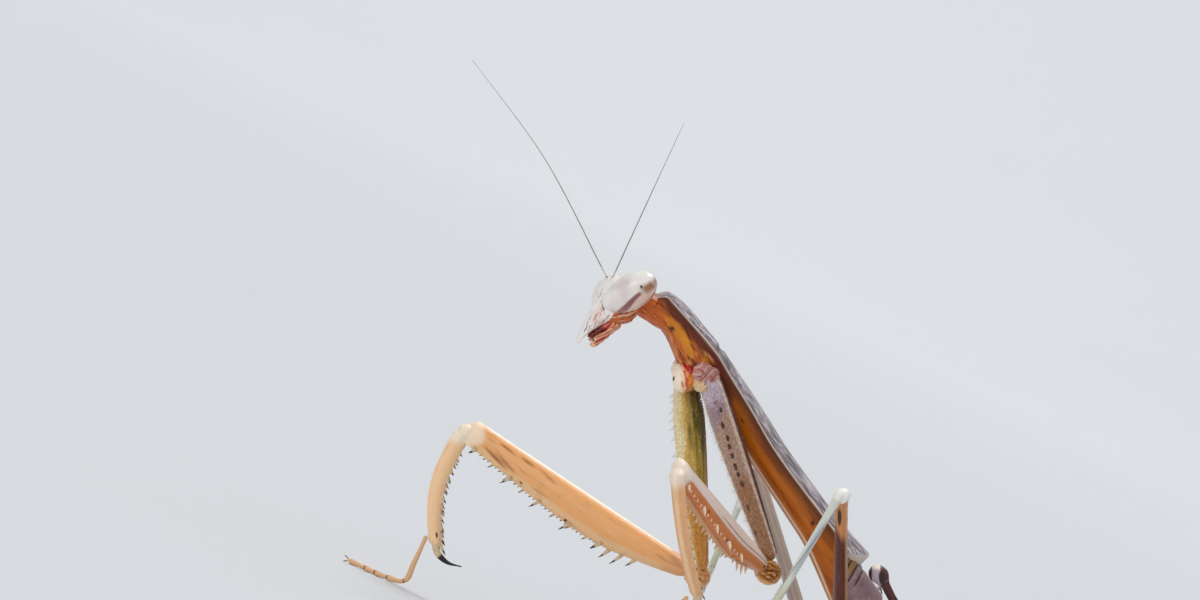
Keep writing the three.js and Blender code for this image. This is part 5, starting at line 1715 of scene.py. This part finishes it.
class MANTIS_OT_forelegs(bpy.types.Operator):
    """Builds the two grasping forelegs with their spines, claws and feet"""

    bl_idname = "mantis.forelegs"
    bl_label = "Forelegs"

    def execute(self, context):
        sizes, colours = context.scene.mantis_sizes, context.scene.mantis_colours
        model = spine_model()
        tooth = spine_finish("coxa_tooth", (255, 252, 246), 1.2)
        pale_look = spine_finish("pale_spine", (240, 208, 176), 1.2)
        spine_look = spine_finish("foreleg_spine", (226, 198, 160), 0.5)
        looks = {
            "left": {
                "coxa": cuticle("left_coxa", (190, 156, 134),
                    dict(lower=(174, 126, 90, 0.6), mauve=(170, 146, 156, 0.5), root=(208, 190, 204, 0.6),
                    crease=(160, 120, 124, 0.3), back=(104, 68, 62, 0.4), keel=(226, 206, 190, 0.0),
                    front=(208, 182, 166, 0.6), spot=(84, 54, 44, 0.7)), rough=0.38, streaks=0.4, pits=0.6,
                    gloss=0.35, speckle=(246, 236, 226, 6.5, 0.8), pebbles=1.0),
                "femur": cuticle("left_femur", (212, 122, 50),
                    dict(inner=(212, 162, 116, 0.5), rosy=(194, 110, 70, 0.4), root=(206, 136, 80, 0.3),
                    ridge=(226, 204, 190, 0.45), stripe=(150, 124, 116, 0.5), spot=(70, 40, 34, 0.2),
                    knee=(244, 226, 210, 0.5)), rough=0.36, streaks=0.3, pits=0.5, gloss=0.35, glow=0.06),
                "tibia": cuticle("left_shin", (230, 176, 126),
                    dict(inner=(208, 142, 84, 0.5), ridge=(238, 198, 156, 0.4), knee=(244, 224, 206, 0.4),
                    spot=(120, 80, 60, 0.2)), rough=0.38, streaks=0.16, pits=0.45, gloss=0.3, glow=0.08,
                    speckle=(255, 246, 236, 4.0, 0.8)),
            },
            "right": {
                # The far coxa's cream is partly painted light and its darker band round the back is painted
                # shade.
                "coxa": cuticle("right_coxa", (222, 184, 92),
                    dict(lower=(214, 150, 62, 0.7), dusk=(156, 136, 44, 0.9), cream=(250, 234, 184, 0.7),
                    olive=(92, 88, 22, 1.0), root=(244, 228, 196, 0.5), edge=(140, 70, 34, 0.3)),
                    rough=0.38, streaks=0.4, pits=0.6, gloss=0.35, speckle=(244, 232, 190, 5.0, 0.8),
                    pebbles=0.8),
                # On the far femur the white ridge along the top edge is partly its pale keel and partly a
                # painted rim highlight.
                "femur": cuticle("right_femur", colours.foreleg,
                    dict(inner=(238, 192, 142, 0.5), streak=(186, 120, 62, 0.4), blotch=(172, 104, 50, 0.4),
                    ridge=(255, 244, 228, 0.2), spot=(96, 56, 40, 0.2), root=(230, 172, 118, 0.3),
                    knee=(252, 226, 196, 0.4)), rough=0.36, streaks=0.42, pits=0.5, gloss=0.3, glow=0.08),
                "tibia": cuticle("right_shin", (248, 206, 160),
                    dict(inner=(240, 184, 132, 0.5), ridge=(252, 238, 220, 0.4), knee=(252, 234, 208, 0.4),
                    spot=(120, 80, 60, 0.2)), rough=0.38, streaks=0.16, pits=0.45, gloss=0.3, glow=0.08),
            },
        }
        knuckles = {
            "left": cuticle("left_trochanter", (182, 116, 52),
                dict(light=(228, 172, 100, 0.5), crease=(134, 76, 30, 0.7)), rough=0.34, streaks=0.5,
                pits=0.6, gloss=0.4),
            "right": cuticle("right_trochanter", (224, 162, 104), dict(light=(240, 190, 138, 0.4)),
                rough=0.36, streaks=0.3, pits=0.5, gloss=0.3),
        }
        throat(cuticle("throat", (236, 140, 52),
            dict(cream=(254, 238, 214, 0.25), crease=(206, 96, 40, 0.4), red=(186, 18, 12, 0.4),
            dot=(20, 12, 10, 0.0)), rough=0.3, streaks=0.2, pits=0.5, gloss=0.5, glow=0.1))
        lobes = {
            "left": cuticle("left_coxa_lobes", (190, 132, 124),
                dict(light=(226, 192, 176, 0.3), low=(226, 192, 148, 0.6), crease=(158, 92, 84, 0.6)),
                rough=0.5, streaks=0.5, pits=0.6, gloss=0.04),
            "right": cuticle("right_coxa_lobes", (250, 236, 212),
                dict(light=(255, 248, 234, 0.5), warm=(236, 140, 52, 0.5), crease=(232, 176, 120, 0.2)),
                rough=0.34, streaks=0.2, pits=0.6, gloss=0.35),
        }
        foot = cuticle("fore_foot", (226, 180, 134), dict(joint=(150, 104, 70, 0.2), tip=(40, 24, 20, 0.0)),
            rough=0.42, streaks=0.25, pits=0.5, gloss=0.25)
        for name, leg in FORELEGS.items():
            fore_coxa(name, leg, looks[name]["coxa"], tooth, model)
            coxa_lobes(name, SIDES[name], lobes[name])
            trochanter(name, leg, knuckles[name])
            fore_femur(name, leg, looks[name]["femur"], pale_look if name == "left" else spine_look, model,
                sizes.spine_thickness)
            fore_tibia(name, leg, looks[name]["tibia"], spine_look, model, sizes.spine_thickness)
            if name == "right":
                knee_cap(name, (-8.36, -3.37, 13.43), looks[name]["tibia"])
            foot_skin(name + "_fore_foot", leg["foot"], foot, "foreleg", name + "_fore_tarsus",
                up=(0.9, 0.3, 0.2), size=0.48)
        removed(model)
        return {"FINISHED"}


class MANTIS_OT_walking_legs(bpy.types.Operator):
    """Builds the four walking legs"""

    bl_idname = "mantis.walking_legs"
    bl_label = "Walking legs"

    def execute(self, context):
        sizes, colours = context.scene.mantis_sizes, context.scene.mantis_colours
        model = spine_model()
        finishes = {
            "coxa": cuticle("walking_coxa", (142, 112, 108),
                dict(keel=(196, 176, 168, 0.4), ring=(90, 54, 44, 0.3)), rough=0.42, streaks=0.35, pits=0.6,
                gloss=0.25, speckle=(228, 214, 202, 4.5, 0.6)),
            "near_thigh": cuticle("near_thigh", (92, 26, 4),
                dict(warm=(168, 116, 72, 0.4), keel=(206, 162, 122, 0.4), top=(214, 142, 78, 0.5),
                slot=(52, 12, 6, 0.0), knee=(246, 244, 240, 0.4)), rough=0.42, streaks=0.4, pits=0.5,
                gloss=0.15),
            "thigh": cuticle("thigh", (158, 140, 130),
                dict(keel=(172, 154, 140, 0.4), outer=(152, 130, 116, 0.5), knee=(232, 226, 218, 0.4)),
                rough=0.42, streaks=0.3, pits=0.5, gloss=0.25),
            "shin": cuticle("shin", (214, 216, 204),
                dict(keel=(236, 236, 226, 0.3), green=(204, 204, 176, 0.3), blue=(178, 190, 198, 0.4),
                end=(170, 150, 128, 0.5), knee=(240, 236, 230, 0.3)), rough=0.4, streaks=0.16, pits=0.4,
                gloss=0.3),
            "foot": cuticle("walking_foot", colours.leg,
                dict(joint=(96, 66, 50, 0.2), tip=(34, 22, 20, 0.0)), rough=0.45, streaks=0.25, pits=0.5,
                gloss=0.2),
            "hair": spine_finish("leg_hair", (150, 118, 92), 0.4),
        }
        for name, leg in WALKING_LEGS.items():
            walking_leg(name, leg, finishes, model, sizes.hair_length)
        removed(model)
        return {"FINISHED"}


# Studio

CAMERA_TURN, CAMERA_RISE, CAMERA_ROLL = 75.0, 1.5, 24.0  # degrees
CAMERA_AWAY = 360.0
VIEW_WIDTH = 94.5
VIEW_CENTRE = (0.0, 0.0, 27.74)
SENSOR_WIDTH = 36.0
SWEEP, SWEEP_STEPS = 3.0, 8  # radius of the floor's upward sweep, in metres, and its steps
MODEL_MIDDLE, BACKDROP = (0, 0, 0.02), (-5.8, 1.55, 0.6)
LIGHTS = {  # place and target in metres, width, watts and tint
    "key_light": ((-1.0, 0.6, 4.2), (-1.0, 0.4, 0.0), 2.6, 96.0, (1.0, 1.0, 1.0)),
    "front_light": ((1.3, -0.7, 0.7), MODEL_MIDDLE, 1.0, 4.8, (1.0, 1.0, 1.0)),
    "low_light": ((0.6, -1.3, 0.3), MODEL_MIDDLE, 0.8, 3.0, (1.0, 0.97, 0.94)),
    "backdrop_light": ((-3.9, 1.05, 3.2), BACKDROP, 2.6, 45.0, (1.0, 1.0, 1.0)),
}
SKY_STRENGTH = 0.46


def camera_axes():
    turn, rise, roll = (math.radians(a) for a in (CAMERA_TURN, CAMERA_RISE, CAMERA_ROLL))
    back = np.array([math.sin(turn) * math.cos(rise), -math.cos(turn) * math.cos(rise), math.sin(rise)])
    level = np.array([math.cos(turn), math.sin(turn), 0.0])
    above = np.cross(back, level)
    right = math.cos(roll) * level + math.sin(roll) * above
    up = -math.sin(roll) * level + math.cos(roll) * above
    return right, up, back


def soft_light(name, at, target, size, power, tint):
    data = bpy.data.lights.new(name, "AREA")
    data.shape, data.size, data.energy, data.color = "DISK", size, power, tint
    lamp = bpy.data.objects.new(name, data)
    bpy.context.scene.collection.objects.link(lamp)
    lamp.location = at
    lamp.rotation_euler = (Vector(target) - Vector(at)).to_track_quat("-Z", "Y").to_euler()
    return lamp


class MANTIS_OT_studio(bpy.types.Operator):
    """Builds the camera, the soft lights and the pale floor that sweeps up all round"""

    bl_idname = "mantis.studio"
    bl_label = "Studio"

    def execute(self, context):
        scene = context.scene
        right, up, back = camera_axes()
        place = (np.array(VIEW_CENTRE) + STANCE_SHIFT + CAMERA_AWAY * back) * MM
        data = bpy.data.cameras.new("studio_camera")
        data.sensor_width = SENSOR_WIDTH
        data.lens = SENSOR_WIDTH * CAMERA_AWAY / VIEW_WIDTH
        data.clip_start, data.clip_end = 0.01, 60.0
        camera = bpy.data.objects.new("studio_camera", data)
        scene.collection.objects.link(camera)
        turned = Matrix((right, up, back)).transposed().to_4x4()
        camera.matrix_world = Matrix.Translation(Vector(place)) @ turned
        scene.camera = camera
        self.add_floor(scene)
        for name, values in LIGHTS.items():
            soft_light(name, *values)
        world = bpy.data.worlds.new("studio_world")
        scene.world = world
        world.use_nodes = True
        sky = world.node_tree.nodes["Background"]
        sky.inputs["Color"].default_value = (1.0, 1.0, 1.0, 1.0)
        sky.inputs["Strength"].default_value = SKY_STRENGTH
        scene.view_settings.view_transform = "Standard"
        return {"FINISHED"}

    def add_floor(self, scene):
        radius = scene.mantis_sizes.floor_radius
        nothing_selected()
        bpy.ops.mesh.primitive_circle_add(vertices=96, radius=radius, fill_type="TRIFAN")
        floor = named("studio_floor")
        turns = [math.radians(90.0 / SWEEP_STEPS * i) for i in range(SWEEP_STEPS + 1)]
        reaches = [radius + SWEEP * math.sin(turn) for turn in turns]
        heights = [SWEEP * (1 - math.cos(turn)) for turn in turns]
        for i in range(SWEEP_STEPS):
            bpy.ops.object.mode_set(mode="EDIT")
            select_edges(floor, lambda edge: edge.is_boundary)
            rise = heights[i + 1] - heights[i]
            bpy.ops.mesh.extrude_region_move(TRANSFORM_OT_translate={"value": (0, 0, rise)})
            share = reaches[i + 1] / reaches[i]
            bpy.ops.transform.resize(value=(share, share, 1), center_override=(0, 0, heights[i + 1]))
            bpy.ops.object.mode_set(mode="OBJECT")
        bpy.ops.object.shade_smooth()
        made = Finish("studio_floor")
        grain = made.node("ShaderNodeTexCoord").outputs["Object"]
        cloud = made.noise(grain, 2.0, 2.0)
        tone = scene.mantis_colours.floor
        tone = made.mixed(cloud, tone, [0.985 * c for c in tone])
        floor.data.materials.append(made.end(tone, made.between(cloud, 0.3, 0.7, 0.75, 0.85)))


class MANTIS_PT_parts(bpy.types.Panel):
    """Lists the parts of the mantis"""

    bl_idname = "MANTIS_PT_parts"
    bl_label = "Praying mantis"
    bl_space_type = "VIEW_3D"
    bl_region_type = "UI"
    bl_category = "Mantis"

    def draw(self, context):
        for operator in OPERATORS:
            self.layout.operator(operator.bl_idname)
        for group in (context.scene.mantis_sizes, context.scene.mantis_colours):
            box = self.layout.box()
            for key in group.bl_rna.properties.keys():
                if key not in {"rna_type", "name"}:
                    box.prop(group, key)


OPERATORS = (MANTIS_OT_head, MANTIS_OT_chest, MANTIS_OT_trunk, MANTIS_OT_wings, MANTIS_OT_forelegs,
             MANTIS_OT_walking_legs, MANTIS_OT_studio)
CLASSES = (MantisSizes, MantisColours, *OPERATORS, MANTIS_PT_parts)


def register():
    for one in CLASSES:
        bpy.utils.register_class(one)
    bpy.types.Scene.mantis_sizes = bpy.props.PointerProperty(type=MantisSizes)
    bpy.types.Scene.mantis_colours = bpy.props.PointerProperty(type=MantisColours)


def unregister():
    del bpy.types.Scene.mantis_colours
    del bpy.types.Scene.mantis_sizes
    for one in reversed(CLASSES):
        bpy.utils.unregister_class(one)


def main():
    register()
    bpy.ops.mantis.head()
    bpy.ops.mantis.chest()
    bpy.ops.mantis.trunk()
    bpy.ops.mantis.wings()
    bpy.ops.mantis.forelegs()
    bpy.ops.mantis.walking_legs()
    bpy.ops.mantis.studio()


if __name__ == "__main__":
    main()
